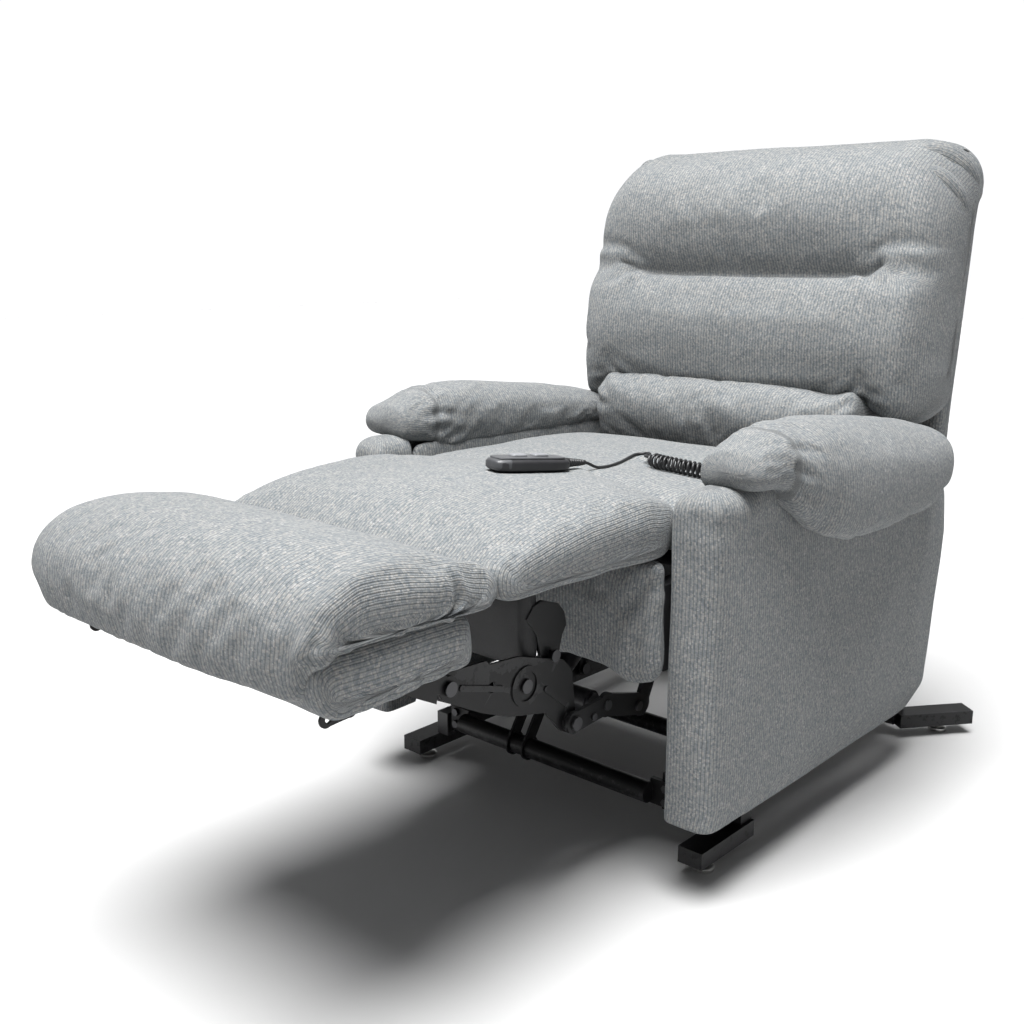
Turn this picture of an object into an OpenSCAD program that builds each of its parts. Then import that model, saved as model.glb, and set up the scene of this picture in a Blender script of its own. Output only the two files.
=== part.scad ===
// Lift recliner chair: powered lift base, seat frame, reclining back and powered footrest.
// All lengths are in millimetres. +Z is up, the sitter faces -Y, +X is the sitter's left.

/* [Part shown] */
// Which piece to draw

/* [Seat] */
// Width of the seat opening between the arms
seat_w = 556; // [500:1:620]
// Height of the seat surface at mid depth
seat_top = 545; // [500:1:580]
// Thickness of the seat pad
seat_pad = 72; // [50:1:120]
// Height of the box under the seat springs
seat_box_h = 120; // [80:1:150]

/* [Arms] */
// Outside of the side panels, measured from the centre line
arm_out = 353; // [330:1:380]
// Clearance from the floor to the side panels
panel_bottom = 108; // [80:1:140]
// Top of the arm pillow at its front
pillow_top = 649; // [600:1:680]
// Outside of the arm pillow, measured from the centre line
pillow_out = 412; // [390:1:430]

/* [Back] */
// Half width of the back cushions
back_half_w = 338; // [300:1:350]
// Top of the back
back_top = 1050; // [980:1:1100]
// Half width of the straight top edge
back_crown = 267; // [220:1:300]

/* [Footrest] */
// Reach of the footrest in front of the middle of the chair
foot_reach = 732; // [650:1:760]
// Half width of the leg pad and its board
leg_half_w = 271; // [240:1:274]

/* [Base] */
// Outer diameter of the front cross tube
front_tube_d = 32; // [25:1:40]
// Width of the floor channels
foot_w = 40; // [30:1:50]
// Height of the floor channels above the floor
foot_lift = 20; // [14:1:30]
// Wall thickness of the steel tubes
tube_wall = 2; // [1.5:0.5:4]

/* [Handset] */
// Length of the handset body
handset_l = 126; // [110:1:170]
// Width of the handset body
handset_w = 46; // [40:1:60]
// Thickness of the handset body
handset_t = 22; // [16:1:30]
// Diameter of the handset cord
cord_d = 5.6; // [4:0.1:7]
// Outer diameter of the curly part of the cord
coil_d = 23; // [16:1:28]

/* [Hidden] */
$fn = 48;
fine = 96;

// Joint centres as [y, z], in the side view
lift_a = [20, 105];
lift_b = [270, 105];
rear_a = [80, 125];
rear_b = [480, 145.5];
leg_pole = [-240, 555];
leg_hinge = [-16, 444];
leg_low = [-256, 275];
leg_elbow = [-110, 258];
leg_far = [-480, 386];
flip_hinge = [-285, 372];
back_hinge = [505, 400];
motor_a = [-12, 150];
motor_b = [205, 300];
crank_r = 60;
gland_at = [46, 547];
crank_pin = [leg_hinge[0] - crank_r * cos(46), leg_hinge[1] - crank_r * sin(46)];
slide_z = 392;

// Radii of pins and their holes
pin_r = 6;
bore_r = pin_r + 0.06;
rivet_r = 5;
rivet_bore = rivet_r + 0.06;

// Distances of the flat parts from the centre line
link_in = 190;
link_out = 206;
rear_in = 212;
rear_out = 226;
plate_in = 229;
plate_out = 233;
leg_in = 218;
leg_out = 224;
coupler_in = 209;
coupler_out = 215;
flip_in = 200;
flip_out = 206;
rail_in = 236;
rail_out = 261;
box_in = 240;
box_out = 268;

rail_front = -34;
rail_back = 640;
rail_low = 52;
rail_high = 92;
box_low = 320;
box_high = box_low + seat_box_h;
box_back = 470;
pad_low = seat_top - seat_pad + 3;
spring_z = 466;
inner_face = seat_w / 2;

paint = [0.07, 0.07, 0.075];
cloth = [0.56, 0.60, 0.62];
timber = [0.72, 0.58, 0.40];
steel = [0.72, 0.73, 0.75];
black = [0.04, 0.04, 0.045];
grey = [0.45, 0.47, 0.49];

// Draws the children, given in the side view, as a slab between two distances across the chair
module slab(x0, x1) {
  translate([x0, 0, 0]) rotate([90, 0, 90]) linear_extrude(x1 - x0) children();
}

// Draws the children, given in the front view, as a slab between two depths
module slab_y(y0, y1) {
  translate([0, y1, 0]) rotate([90, 0, 0]) linear_extrude(y1 - y0) children();
}

module both() {
  children();
  mirror([1, 0, 0]) children();
}

// Straight flat bar with round ends that stand a little proud of it, in the plane
module bar(a, b, r) {
  d = b - a;
  w = r * 0.92;
  translate(a) circle(r);
  translate(b) circle(r);
  translate(a) rotate(atan2(d[1], d[0])) translate([0, -w]) square([norm(d), 2 * w]);
}

module rod_x(x0, x1, at, r) {
  slab(x0, x1) translate(at) circle(r);
}

// ---------- lift base, resting on the floor ----------

module base_side_rails() {
  color(paint) both() difference() {
    translate([rail_in, rail_front, rail_low])
      cube([rail_out - rail_in, rail_back - rail_front, rail_high - rail_low]);
    translate([rail_in + tube_wall, rail_front - 1, rail_low + tube_wall])
      cube([rail_out - rail_in - 2 * tube_wall, rail_back - rail_front + 2,
            rail_high - rail_low - 2 * tube_wall]);
  }
}

module end_plug() {
  gap = tube_wall + 0.1;
  translate([rail_in, 0, rail_low]) cube([rail_out - rail_in, 3, rail_high - rail_low]);
  translate([rail_in + gap, 2.9, rail_low + gap])
    cube([rail_out - rail_in - 2 * gap, 12, rail_high - rail_low - 2 * gap]);
}

module base_end_plugs() {
  color(black) both() {
    translate([0, rail_front - 3, 0]) end_plug();
    translate([0, rail_back + 3, 0]) mirror([0, 1, 0]) end_plug();
  }
}

tube_y = -42;
tube_z = 90;
tab_t = 8;
tab_y = -26;
flange_t = 5;

module base_front_tube() {
  r = front_tube_d / 2;
  color(paint) difference() {
    union() {
      difference() {
        rod_x(-192, 192, [tube_y, tube_z], r);
        rod_x(-180, 180, [tube_y, tube_z], r - tube_wall);
      }
      both() translate([188, tab_y - tab_t, tube_z - 20]) cube([41, tab_t, 40]);
    }
    both() for (dz = [-11, 11])
      translate([217, tab_y + 1, tube_z + dz]) rotate([90, 0, 0]) cylinder(r = 4.3, h = tab_t + 2);
  }
}

module base_rear_tube() {
  color(paint) difference() {
    translate([-rail_in, 600, rail_low]) cube([2 * rail_in, 40, rail_high - rail_low]);
    translate([-rail_in + 1, 600 + tube_wall, rail_low + tube_wall])
      cube([2 * rail_in - 2, 40 - 2 * tube_wall, rail_high - rail_low - 2 * tube_wall]);
  }
}

foot_t = 3;
foot_h = 25;
stem_hole = 5.3;
front_glide = [287, -37];
rear_glide = [329, 680];

// Closed box section running along +Y from the origin
module floor_bar(len) {
  difference() {
    translate([-foot_w / 2, 0, foot_lift]) cube([foot_w, len, foot_h]);
    translate([-foot_w / 2 + foot_t, foot_t, foot_lift + foot_t])
      cube([foot_w - 2 * foot_t, len - 2 * foot_t, foot_h - 2 * foot_t]);
  }
}

module front_foot_arms() {
  color(paint) both() difference() {
    union() {
      translate([front_glide[0], -74, 0]) floor_bar(140);
      // upright that rises to the side rail
      slab(272, 302) difference() {
        translate([36, foot_lift + foot_t]) square([30, 69]);
        translate([66, 92]) difference() {
          translate([-20, -20]) square(21);
          translate([-20, -20]) circle(20);
        }
      }
      translate([rail_out, 40, rail_low]) cube([12, 22, rail_high - rail_low]);
    }
    translate([front_glide[0], front_glide[1], 0]) cylinder(r = stem_hole, h = foot_lift + foot_h / 2);
  }
}

rear_turn = 38;
module rear_foot_arms() {
  color(paint) both() difference() {
    union() {
      translate([281, 604, 0]) rotate([0, 0, -rear_turn]) floor_bar(142);
      translate([rail_out, 592, foot_lift + foot_t + 0.5])
        cube([22, 40, rail_high - foot_lift - foot_t - 0.5]);
    }
    translate([rear_glide[0], rear_glide[1], 0]) cylinder(r = stem_hole, h = foot_lift + foot_h / 2);
  }
}

module glide() {
  rotate_extrude($fn = fine) polygon([
    [0, 0], [12, 0], [15, 1.5], [16, 4], [16, 7], [13, 9], [7, 10], [5, 11], [5, 40], [0, 40]]);
}

module levelling_feet() {
  color(steel) both() {
    translate([front_glide[0], front_glide[1], 0]) glide();
    translate([rear_glide[0], rear_glide[1], 0]) glide();
  }
}

module hex_nut(af, h, bore) {
  difference() {
    cylinder(r = af / 2 / cos(30), h = h, $fn = 6);
    translate([0, 0, -1]) cylinder(r = bore, h = h + 2);
  }
}

module lock_nuts() {
  color(steel) both() for (p = [front_glide, rear_glide])
    translate([p[0], p[1], foot_lift - 6.2]) hex_nut(16, 6, 5.05);
}

module lift_pivot_brackets() {
  color(paint) both() {
    difference() {
      slab(rail_in - 6, rail_in) polygon([
        [tab_y, 58], [105, 58], [105, 112], [94, 142], [66, 142], [40, 128], [tab_y, 120]]);
      for (p = [lift_a, rear_a]) rod_x(rail_in - 7, rail_in + 1, p, bore_r);
    }
    difference() {
      translate([204, tab_y, 62]) cube([26, flange_t, 58]);
      for (dz = [-11, 11])
        translate([217, tab_y + flange_t + 1, tube_z + dz]) rotate([90, 0, 0])
          cylinder(r = 4.3, h = flange_t + 2);
    }
  }
}

module bolt_y(len) {
  // head towards -Y, shank along +Y, nut at the far end
  rotate([-90, 0, 0]) {
    translate([0, 0, -5]) cylinder(r = 7, h = 5, $fn = 6);
    cylinder(r = 4, h = len);
    translate([0, 0, len - 7]) cylinder(r = 7, h = 6, $fn = 6);
  }
}

module base_bolts() {
  color(steel) both() for (dz = [-11, 11])
    translate([217, tab_y - tab_t, tube_z + dz]) bolt_y(tab_t + flange_t + 7);
}

module base_pivot_pins() {
  color(steel) both() {
    // front lift link
    rod_x(link_in - 6.5, rail_in, lift_a, pin_r);
    rod_x(link_in - 6.5, link_in - 1.5, lift_a, 10);
    rod_x(link_out + 1.5, rail_in - 6, lift_a, 9);
    // rear lift link
    rod_x(rear_in - 4.5, rail_in, rear_a, pin_r);
    rod_x(rear_in - 4.5, rear_in - 1.5, rear_a, 10);
    rod_x(rear_out + 1.5, rail_in - 6, rear_a, 9);
  }
}

motor_x = -60;
module lift_motor_bracket() {
  color(paint) {
    for (dx = [-16, 16]) difference() {
      slab(motor_x + dx - 2, motor_x + dx + 2) difference() {
        union() {
          bar(motor_a, [tube_y, tube_z + 14], 12);
          translate([tube_y, tube_z]) circle(front_tube_d / 2 + 4);
        }
        translate([tube_y, tube_z]) circle(front_tube_d / 2 + 0.1);
        translate(motor_a) circle(rivet_bore);
      }
    }
  }
  color(steel) {
    rod_x(motor_x - 20, motor_x + 20, motor_a, rivet_r);
    for (dx = [-23, 20]) rod_x(motor_x + dx, motor_x + dx + 3, motor_a, 8);
  }
}

box_x = -85;
module power_box() {
  color(black) difference() {
    translate([box_x - 65, 540, 56]) cube([130, 59.5, 44]);
    translate([box_x + 65 - 16, 556, 66]) cube([18, 28, 22]);
  }
}

module power_inlet() {
  color(grey) {
    difference() {
      translate([box_x + 65 - 15.8, 556.2, 66.2]) cube([17.8, 27.6, 21.6]);
      translate([box_x + 65 - 12, 558.2, 68.2]) cube([20, 23.6, 17.6]);
    }
    for (dy = [-7, 0, 7])
      translate([box_x + 65 - 13, 570 + dy - 1, 76 + (dy == 0 ? 1.5 : -3)]) cube([11, 2, 5]);
  }
}

// ---------- lift links ----------

module lift_link_arms() {
  color(paint) both() slab(link_in, link_out) difference() {
    bar(lift_a, lift_b, 15);
    translate(lift_a) circle(bore_r);
    translate(lift_b) circle(bore_r);
  }
}

module lift_torque_tube() {
  mid = (lift_a + lift_b) / 2;
  color(paint) difference() {
    rod_x(-link_in, link_in, mid, 14);
    rod_x(-link_in + 8, link_in - 8, mid, 14 - tube_wall);
  }
}

module rear_link_arms() {
  color(paint) both() slab(rear_in, rear_out) difference() {
    bar(rear_a, rear_b, 13);
    translate(rear_a) circle(bore_r);
    translate(rear_b) circle(pin_r + 1.4);
  }
}

// ---------- lift motor ----------

motor_d = motor_b - motor_a;
motor_len = norm(motor_d);
motor_angle = atan2(motor_d[1], motor_d[0]);
rod_r = 9;
rod_bore = rod_r + 0.08;

// Places the children so that +Y runs along the lift motor from its lower pivot
module at_lift_motor() {
  translate([motor_x, motor_a[0], motor_a[1]]) rotate([motor_angle, 0, 0]) children();
}

module lift_motor() {
  color(black) at_lift_motor() difference() {
    union() {
      rotate([90, 0, 90]) translate([0, 0, -12]) cylinder(r = 12, h = 24);
      translate([-13, 8, -22]) cube([26, 52, 44]);
      translate([0, 58, 0]) rotate([-90, 0, 0]) cylinder(r = 19, h = 150);
      translate([10, 36, 0]) rotate([0, 90, 0]) cylinder(r = 20, h = 84);
      translate([94, 36, 0]) rotate([0, 90, 0]) cylinder(r = 16, h = 5);
    }
    rotate([90, 0, 90]) translate([0, 0, -14]) cylinder(r = rivet_bore, h = 28);
    translate([0, 62, 0]) rotate([-90, 0, 0]) cylinder(r = rod_bore, h = 160);
  }
}

module lift_rod() {
  color(steel) at_lift_motor() difference() {
    union() {
      translate([0, 70, 0]) rotate([-90, 0, 0]) cylinder(r = rod_r, h = motor_len - 70 - 8);
      translate([0, motor_len, 0]) rotate([90, 0, 90]) translate([0, 0, -11]) cylinder(r = 14, h = 22);
    }
    translate([0, motor_len, 0]) rotate([90, 0, 90]) translate([0, 0, -14]) cylinder(r = 7.5, h = 28);
  }
}

// ---------- chassis carried by the lift links ----------

module chassis_plates() {
  // spacers that meet the seat box
  color(paint) both() for (y = [80, 255, 430]) rod_x(plate_out, box_in, [y, 333], 10);
  color(paint) both() slab(plate_in, plate_out) difference() {
    union() {
      bar(leg_hinge, [58, 345], 22);
      bar([58, 333], [462, 333], 24);
      bar([462, 333], rear_b, 20);
      bar([470, 338], back_hinge, 20);
    }
    translate(leg_hinge) circle(bore_r);
    translate(rear_b) circle(bore_r);
    translate(back_hinge) circle(bore_r);
    // lightening slots
    bar([110, 333], [200, 333], 9);
    bar([310, 333], [380, 333], 9);
  }
}

cross_z = 318;
module chassis_cross_members() {
  color(paint) {
    // front channel, open at the bottom
    difference() {
      translate([-plate_in, 255, cross_z]) cube([2 * plate_in, 30, 30]);
      translate([-plate_in + 3, 258, cross_z - 1]) cube([2 * plate_in - 6, 24, 28]);
    }
    rod_x(-plate_in, plate_in, [440, 333], 13);
    // ears that carry the top of the lift motor
    for (dx = [-17, 17]) slab(motor_x + dx - 2.5, motor_x + dx + 2.5) difference() {
      union() {
        bar(motor_b, [243, 330], 12);
        translate([240, 318]) square([15, 24]);
      }
      translate(motor_b) circle(rivet_bore);
    }
    // strap that holds the footrest motor
    slab(54, 66) difference() {
      translate([418, 340]) square([27.5, 52]);
      translate([440, 333]) circle(13.1);
    }
  }
  color(steel) {
    rod_x(motor_x - 19.5, motor_x + 19.5, motor_b, rivet_r);
    for (dx = [-22.5, 19.5]) rod_x(motor_x + dx, motor_x + dx + 3, motor_b, 8);
  }
}

hang_in = 182;
hang_out = 187;
module chassis_hangers() {
  color(paint) both() slab(hang_in, hang_out) difference() {
    union() {
      bar([270, 300], lift_b, 15);
      translate([255, 290]) square([30, cross_z - 290]);
    }
    translate(lift_b) circle(pin_r + 0.05);
  }
}

module chassis_pins() {
  color(steel) both() {
    rod_x(hang_in - 5, link_out + 4.5, lift_b, pin_r);
    rod_x(hang_in - 5, hang_in, lift_b, 10);
    rod_x(link_out + 1.5, link_out + 4.5, lift_b, 10);
    rod_x(rear_in - 5, plate_out + 3, rear_b, pin_r);
    rod_x(rear_in - 5, rear_in - 1.5, rear_b, 10);
    rod_x(plate_out, plate_out + 3, rear_b, 10);
    rod_x(plate_in - 3, plate_out + 15, back_hinge, pin_r);
    rod_x(plate_in - 3, plate_in, back_hinge, 10);
    rod_x(plate_out + 12, plate_out + 15, back_hinge, 10);
  }
}

module seat_box() {
  color(timber) {
    both() translate([box_in, -126, box_low]) cube([box_out - box_in, box_back + 126, seat_box_h]);
    translate([-plate_in, box_back - 24, box_low + 28]) cube([2 * plate_in, 24, seat_box_h - 28]);
  }
}

module seat_front_rail() {
  color(cloth) slab(-272, 272) polygon([
    [-130, 322], [-150, 318], [-156, 330], [-158, 400], [-156, 460], [-150, 474], [-130, 474]]);
}

module seat_springs() {
  run = 46;
  wave = 26;
  color(steel) for (x = [-184 : 92 : 184]) translate([x, 0, spring_z]) linear_extrude(3.6) {
    for (i = [0 : 11]) {
      y0 = -124 + i * run;
      s = (i % 2 == 0) ? 1 : -1;
      bar([-s * wave, y0 + 8], [s * wave, y0 + 8], 1.8);
      bar([s * wave, y0 + 8], [s * wave, y0 + run + 8], 1.8);
    }
    bar([-wave, -128], [-wave, -116], 1.8);
  }
}

module seat_cushion() {
  color(cloth) intersection() {
    slab(-leg_half_w, leg_half_w) polygon([
      [-92, pad_low], [318, pad_low], [326, 486], [324, 500], [300, 514], [240, 530],
      [165, seat_top - 4], [60, seat_top + 5], [-30, seat_top + 8], [-60, seat_top + 9],
      [-92, seat_top + 15]]);
    crown(-100, 340, pad_low - 1, 12);
  }
}

// Limits a pad's top so that it falls away towards both sides
module crown(y0, y1, low, rise) {
  w = leg_half_w;
  slab_y(y0, y1) polygon([
    [-w, low], [w, low], [w, seat_top], [w - 40, seat_top + rise * 0.6], [w - 110, seat_top + rise + 6],
    [110 - w, seat_top + rise + 6], [40 - w, seat_top + rise * 0.6], [-w, seat_top]]);
}

// Pad that runs forward from the seat to the fold of the leg rest
fold_low = 484;
fold_gap = 0.4;
module leg_pad_rear() {
  color(cloth) intersection() {
    slab(-leg_half_w, leg_half_w) polygon([
      [-93, pad_low], [-93, seat_top + 16], [-145, seat_top + 21], [-200, seat_top + 26],
      [leg_pole[0] + fold_gap, seat_top + 25], [leg_pole[0] + fold_gap, leg_pole[1]],
      [leg_pole[0] + (leg_pole[1] - fold_low), fold_low], [-150, pad_low]]);
    crown(-250, -90, pad_low - 1, 22);
  }
}

// ---------- arms ----------

post_front = -135;
module arm_posts() {
  color(cloth) both() difference() {
    slab_y(post_front, -60) polygon([
      [inner_face, panel_bottom], [arm_out - 13, panel_bottom], [arm_out, 200], [arm_out, 543],
      [arm_out - 3, 560], [arm_out - 38, 575], [inner_face + 14, 562], [inner_face, 543]]);
    // rounded outer front edge
    translate([arm_out - 26, post_front + 26, 0]) difference() {
      translate([0, -28, 100]) cube([30, 28, 500]);
      cylinder(r = 26, h = 620, $fn = fine);
    }
    // the front of the pillow sits in this step
    translate([inner_face + 19, -126, 520]) cube([arm_out - inner_face, 80, 60]);
    translate([inner_face - 1, -126, 556]) cube([arm_out - inner_face, 80, 60]);
  }
}

module side_panels() {
  color(cloth) both() slab(arm_out - 34, arm_out) polygon([
    [-59, panel_bottom], [476, panel_bottom + 1], [552, panel_bottom + 32], [576, 300], [586, 407],
    [566, 470], [545, 505], [-59, 505]]);
}

module arm_inner_panels() {
  color(cloth) difference() {
    both() slab(inner_face + 1, inner_face + 18) polygon([
      [-59, box_low - 20], [480, box_low - 20], [500, 440], [500, 556], [-59, 556]]);
    // hole for the cord's gland
    rod_x(inner_face, inner_face + 19, gland_at, 6.6);
  }
}

module arm_rails() {
  color(timber) both() {
    translate([inner_face + 18.5, -58, 470]) cube([22, 556, 34]);
    translate([inner_face + 18.5, -58, 160]) cube([22, 34, 309]);
    translate([inner_face + 18.5, 440, 160]) cube([22, 34, 309]);
    translate([box_out, -40, 352]) cube([inner_face + 1 - box_out, 30, 40]);
    translate([box_out, 400, 352]) cube([inner_face + 1 - box_out, 30, 40]);
  }
}

module arm_pillows() {
  pillow_in = inner_face - 2;
  slope = atan2(46, 470);
  color(cloth) both() difference() {
    slab_y(-124, 566) polygon([
      [pillow_in, 558], [inner_face + 19, 558], [inner_face + 19, 522], [arm_out + 1, 522],
      [arm_out + 1, 470], [pillow_out - 30, 462],
      [pillow_out - 8, 490], [pillow_out, 540], [pillow_out - 4, 590], [pillow_out - 28, 628],
      [pillow_out - 62, pillow_top], [pillow_in + 44, pillow_top], [pillow_in + 10, 628],
      [pillow_in, 590]]);
    // top slopes down to the rear
    translate([200, -10, pillow_top + 1]) rotate([-slope, 0, 0]) cube([240, 700, 80]);
    // rounded rear end
    slab(200, 440) polygon([[567, 440], [567, 640], [520, 640], [558, 580], [548, 500], [520, 440]]);
    // front cap rises above the post
    slab_y(-125, -59) polygon([
      [pillow_in - 1, 400], [pillow_out + 1, 400], [pillow_out + 1, 500], [arm_out + 1, 521],
      [inner_face + 18, 521], [inner_face + 18, 557], [pillow_in - 1, 557]]);
  }
}

// ---------- footrest motor ----------

leg_motor_x = 60;
module leg_motor() {
  color(black) translate([leg_motor_x, 0, slide_z]) difference() {
    union() {
      translate([0, 120, 0]) rotate([-90, 0, 0]) cylinder(r = 19, h = 232);
      translate([-16, 350, -24]) cube([32, 62, 48]);
      translate([14, 382, 0]) rotate([0, 90, 0]) cylinder(r = 21, h = 84);
      translate([98, 382, 0]) rotate([0, 90, 0]) cylinder(r = 17, h = 5);
      translate([-6, 410, 1]) cube([12, 30, 18]);
    }
    translate([0, 119, 0]) rotate([-90, 0, 0]) cylinder(r = rod_bore, h = 226);
  }
}

yoke_half_y = 16;
module leg_rod() {
  color(steel) translate([leg_motor_x, 0, slide_z]) {
    translate([0, crank_pin[0] + yoke_half_y + 3, 0]) rotate([-90, 0, 0]) cylinder(r = rod_r, h = 281);
    slab(-4, 4) difference() {
      translate([crank_pin[0] - yoke_half_y, -24]) square([2 * yoke_half_y + 6, 50]);
      bar([crank_pin[0], -9], [crank_pin[0], 10], 8.4);
    }
  }
}

// ---------- footrest links ----------

module leg_torque_tube() {
  color(paint) {
    rod_x(-leg_in, leg_in, leg_hinge, 11);
    for (x = [leg_motor_x - 10, leg_motor_x + 6])
      slab(x, x + 4) bar(leg_hinge, crank_pin, 12);
    both() rod_x(leg_out, 239, leg_hinge, pin_r);
    both() rod_x(leg_out, plate_in - 1, leg_hinge, 9);
    both() rod_x(plate_out + 1.2, 239, leg_hinge, 9);
  }
  color(steel) rod_x(leg_motor_x - 6.1, leg_motor_x + 6.1, crank_pin, rivet_r);
}

module leg_link_arms() {
  color(paint) both() {
    slab(leg_in, leg_out) difference() {
      union() {
        bar(leg_hinge, leg_elbow, 14);
        bar(leg_elbow, [-189, 280], 17);
        bar([-189, 280], leg_low, 15);
      }
      translate(leg_low) circle(rivet_r + 0.02);
    }
  }
}

module leg_link_caps() {
  color(steel) both() {
    rod_x(coupler_in - 1.5, leg_out, leg_low, rivet_r);
    rod_x(coupler_in - 4, coupler_in - 1.5, leg_low, 9);
    rod_x(leg_out, leg_out + 5, leg_low, 9);
    rod_x(leg_out, leg_out + 3, [-189, 280], 7);
    rod_x(leg_out, leg_out + 3, [-119, 258], 7);
    rod_x(leg_out, leg_out + 3, [-218, 272], 5);
  }
}

module leg_couplers() {
  color(paint) both() {
    difference() {
      union() {
        slab(coupler_in, coupler_in + 4) difference() {
          union() {
            polygon([
              [-484, 401], [-410, 398], [-404, 392], [-352, 388], [-268, 362], [-250, 344], [-242, 277],
              [-256, 261], [-272, 266], [-302, 300], [-372, 316], [-420, 336], [-470, 362], [-488, 371]]);
            translate(leg_far) circle(16);
            translate(leg_low) circle(15);
          }
          translate(flip_hinge) circle(rivet_r + 0.02);
          translate([-400, 362]) circle(7);
        }
        // stamped bosses and rib
        slab(coupler_in + 4, coupler_out) {
          translate([-340, 347]) difference() {
            circle(26);
            circle(19);
          }
          translate(leg_far) circle(14);
          translate(leg_low) circle(13);
          bar([-302, 332], [-262, 300], 4);
          bar([-452, 376], [-384, 356], 4);
        }
      }
      rod_x(coupler_in - 1, coupler_out + 1, leg_low, rivet_bore);
      rod_x(coupler_in - 1, coupler_out + 1, leg_far, rivet_r + 0.02);
    }
  }
}

module coupler_pins() {
  color(steel) both() {
    rod_x(coupler_in - 3, leg_out + 2.5, leg_far, rivet_r);
    rod_x(coupler_in - 3, coupler_in, leg_far, 9);
    rod_x(leg_out + 0.2, leg_out + 2.5, leg_far, 9);
    rod_x(flip_in - 3.5, coupler_in + 4, flip_hinge, rivet_r);
    rod_x(flip_in - 3.5, flip_in - 1, flip_hinge, 8);
    rod_x(coupler_in + 4, coupler_in + 7, flip_hinge, 8);
    rod_x(coupler_in + 4, coupler_out + 2, [-340, 347], 9);
  }
}

module mid_ottoman_brackets() {
  color(paint) both() slab(flip_in, flip_out) difference() {
    polygon([
      [-298, 358], [-285, 354], [-272, 358], [-262, 392], [-254, 404], [-258, 422], [-270, 436],
      [-300, 446], [-318, 442], [-330, 428], [-312, 404]]);
    translate(flip_hinge) circle(rivet_bore);
  }
}

module mid_ottoman_board() {
  color(black) slab(-flip_in, flip_in) polygon([
    [-334, 392], [-326, 386], [-310, 388], [-304, 396], [-304, 462], [-310, 470], [-328, 472], [-336, 464]]);
}

// ---------- leg rest ----------

pad_join = -443;
module leg_pad_front() {
  color(cloth) intersection() {
    slab(-leg_half_w, leg_half_w) polygon([
      [leg_pole[0] - fold_gap, seat_top + 25], [-300, seat_top + 18], [-380, seat_top + 4], [pad_join, 534],
      [pad_join, fold_low + 2], [leg_pole[0] - (leg_pole[1] - fold_low) - fold_gap, fold_low],
      [leg_pole[0] - fold_gap, leg_pole[1]]]);
    crown(pad_join - 1, -200, fold_low - 1, 22);
  }
}

module foot_pad() {
  color(cloth) slab(-leg_half_w, leg_half_w) polygon([
    [pad_join - 0.3, 531], [-500, 552], [-580, 563], [-660, 556], [-706, 536], [2 - foot_reach, 508],
    [-foot_reach, 488], [4 - foot_reach, 466], [-722, 446], [-712, 440], [-705.5, 448], [-705.5, 486],
    [pad_join - 0.3, 486]]);
}

module ottoman_board() {
  color(cloth) slab(-leg_half_w + 1, leg_half_w - 1) polygon([
    [-484, 430], [-486, 484], [-560, 485.5], [-696, 485.5], [-705, 470], [-700, 442], [-676, 418],
    [-560, 422]]);
}

module ottoman_brackets() {
  color(paint) both() slab(leg_in, leg_in + 4) difference() {
    union() {
      polygon([[-490, 428], [-560, 421.6], [-620, 419.4], [-620, 411], [-560, 404], [-500, 373]]);
      translate(leg_far) circle(15);
      bar(leg_far, [-500, 400], 12);
    }
    translate(leg_far) circle(rivet_r + 0.4);
    translate([-590, 413]) circle(3);
  }
}

module ottoman_front_brackets() {
  color(paint) both() slab(228, 231) difference() {
    union() {
      bar([-662, 407], [-630, 409], 9);
      translate([-660, 405]) square([28, 13]);
    }
    translate([-660, 407]) circle(4);
    translate([-634, 408]) circle(4);
  }
}

// ---------- reclining back ----------

// Depth of the back frame's front face at a height, and of its rear face
function frame_y(z) = 585 + (z - 525) * 0.14;

module back_rail(half, z) {
  slab(-half, half) polygon([
    [frame_y(z) + 2, z], [frame_y(z + 26) + 2, z + 26], [frame_y(z + 26) + 26, z + 26],
    [frame_y(z) + 26, z]]);
}

module back_frame() {
  low = 470;
  high = 1000;
  color(timber) {
    both() slab(252, 278) polygon([
      [frame_y(low), low], [frame_y(high), high], [frame_y(high) + 36, high], [frame_y(low) + 36, low]]);
    // the lowest rail ends at the hinge arms
    back_rail(plate_out + 3, 534);
    for (z = [740, 974]) back_rail(252, z);
  }
}

module back_hinges() {
  color(paint) both() slab(plate_out + 3, plate_out + 9) difference() {
    union() {
      bar(back_hinge, [574, 470], 18);
      bar([574, 470], [616, 552], 16);
    }
    translate(back_hinge) circle(bore_r);
    for (p = [[590, 501], [612, 544]]) translate(p) circle(4);
  }
  color(paint) both() slab(plate_out + 9, 252) translate([580, 484]) rotate(-10) square([18, 84]);
}

module outer_back_panel() {
  color(cloth) slab(-320, 320) polygon([
    [632, 528], [642, 526], [672, 760], [697, 985], [693, 1000], [688, 985], [660, 760]]);
}

module lumbar_cushion() {
  color(cloth) slab(-262, 262) polygon([
    [400, 526], [378, 548], [372, 576], [380, 608], [398, 625],
    [frame_y(625) - 0.3, 625], [frame_y(526) - 0.3, 526]]);
}

module mid_back_cushion() {
  w = back_half_w + 4;
  color(cloth) slab(-w, w) polygon([
    [436, 626], [426, 660], [423, 710], [430, 790], [462, 846], [frame_y(846) - 0.3, 846],
    [frame_y(626) - 0.3, 626]]);
}

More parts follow.
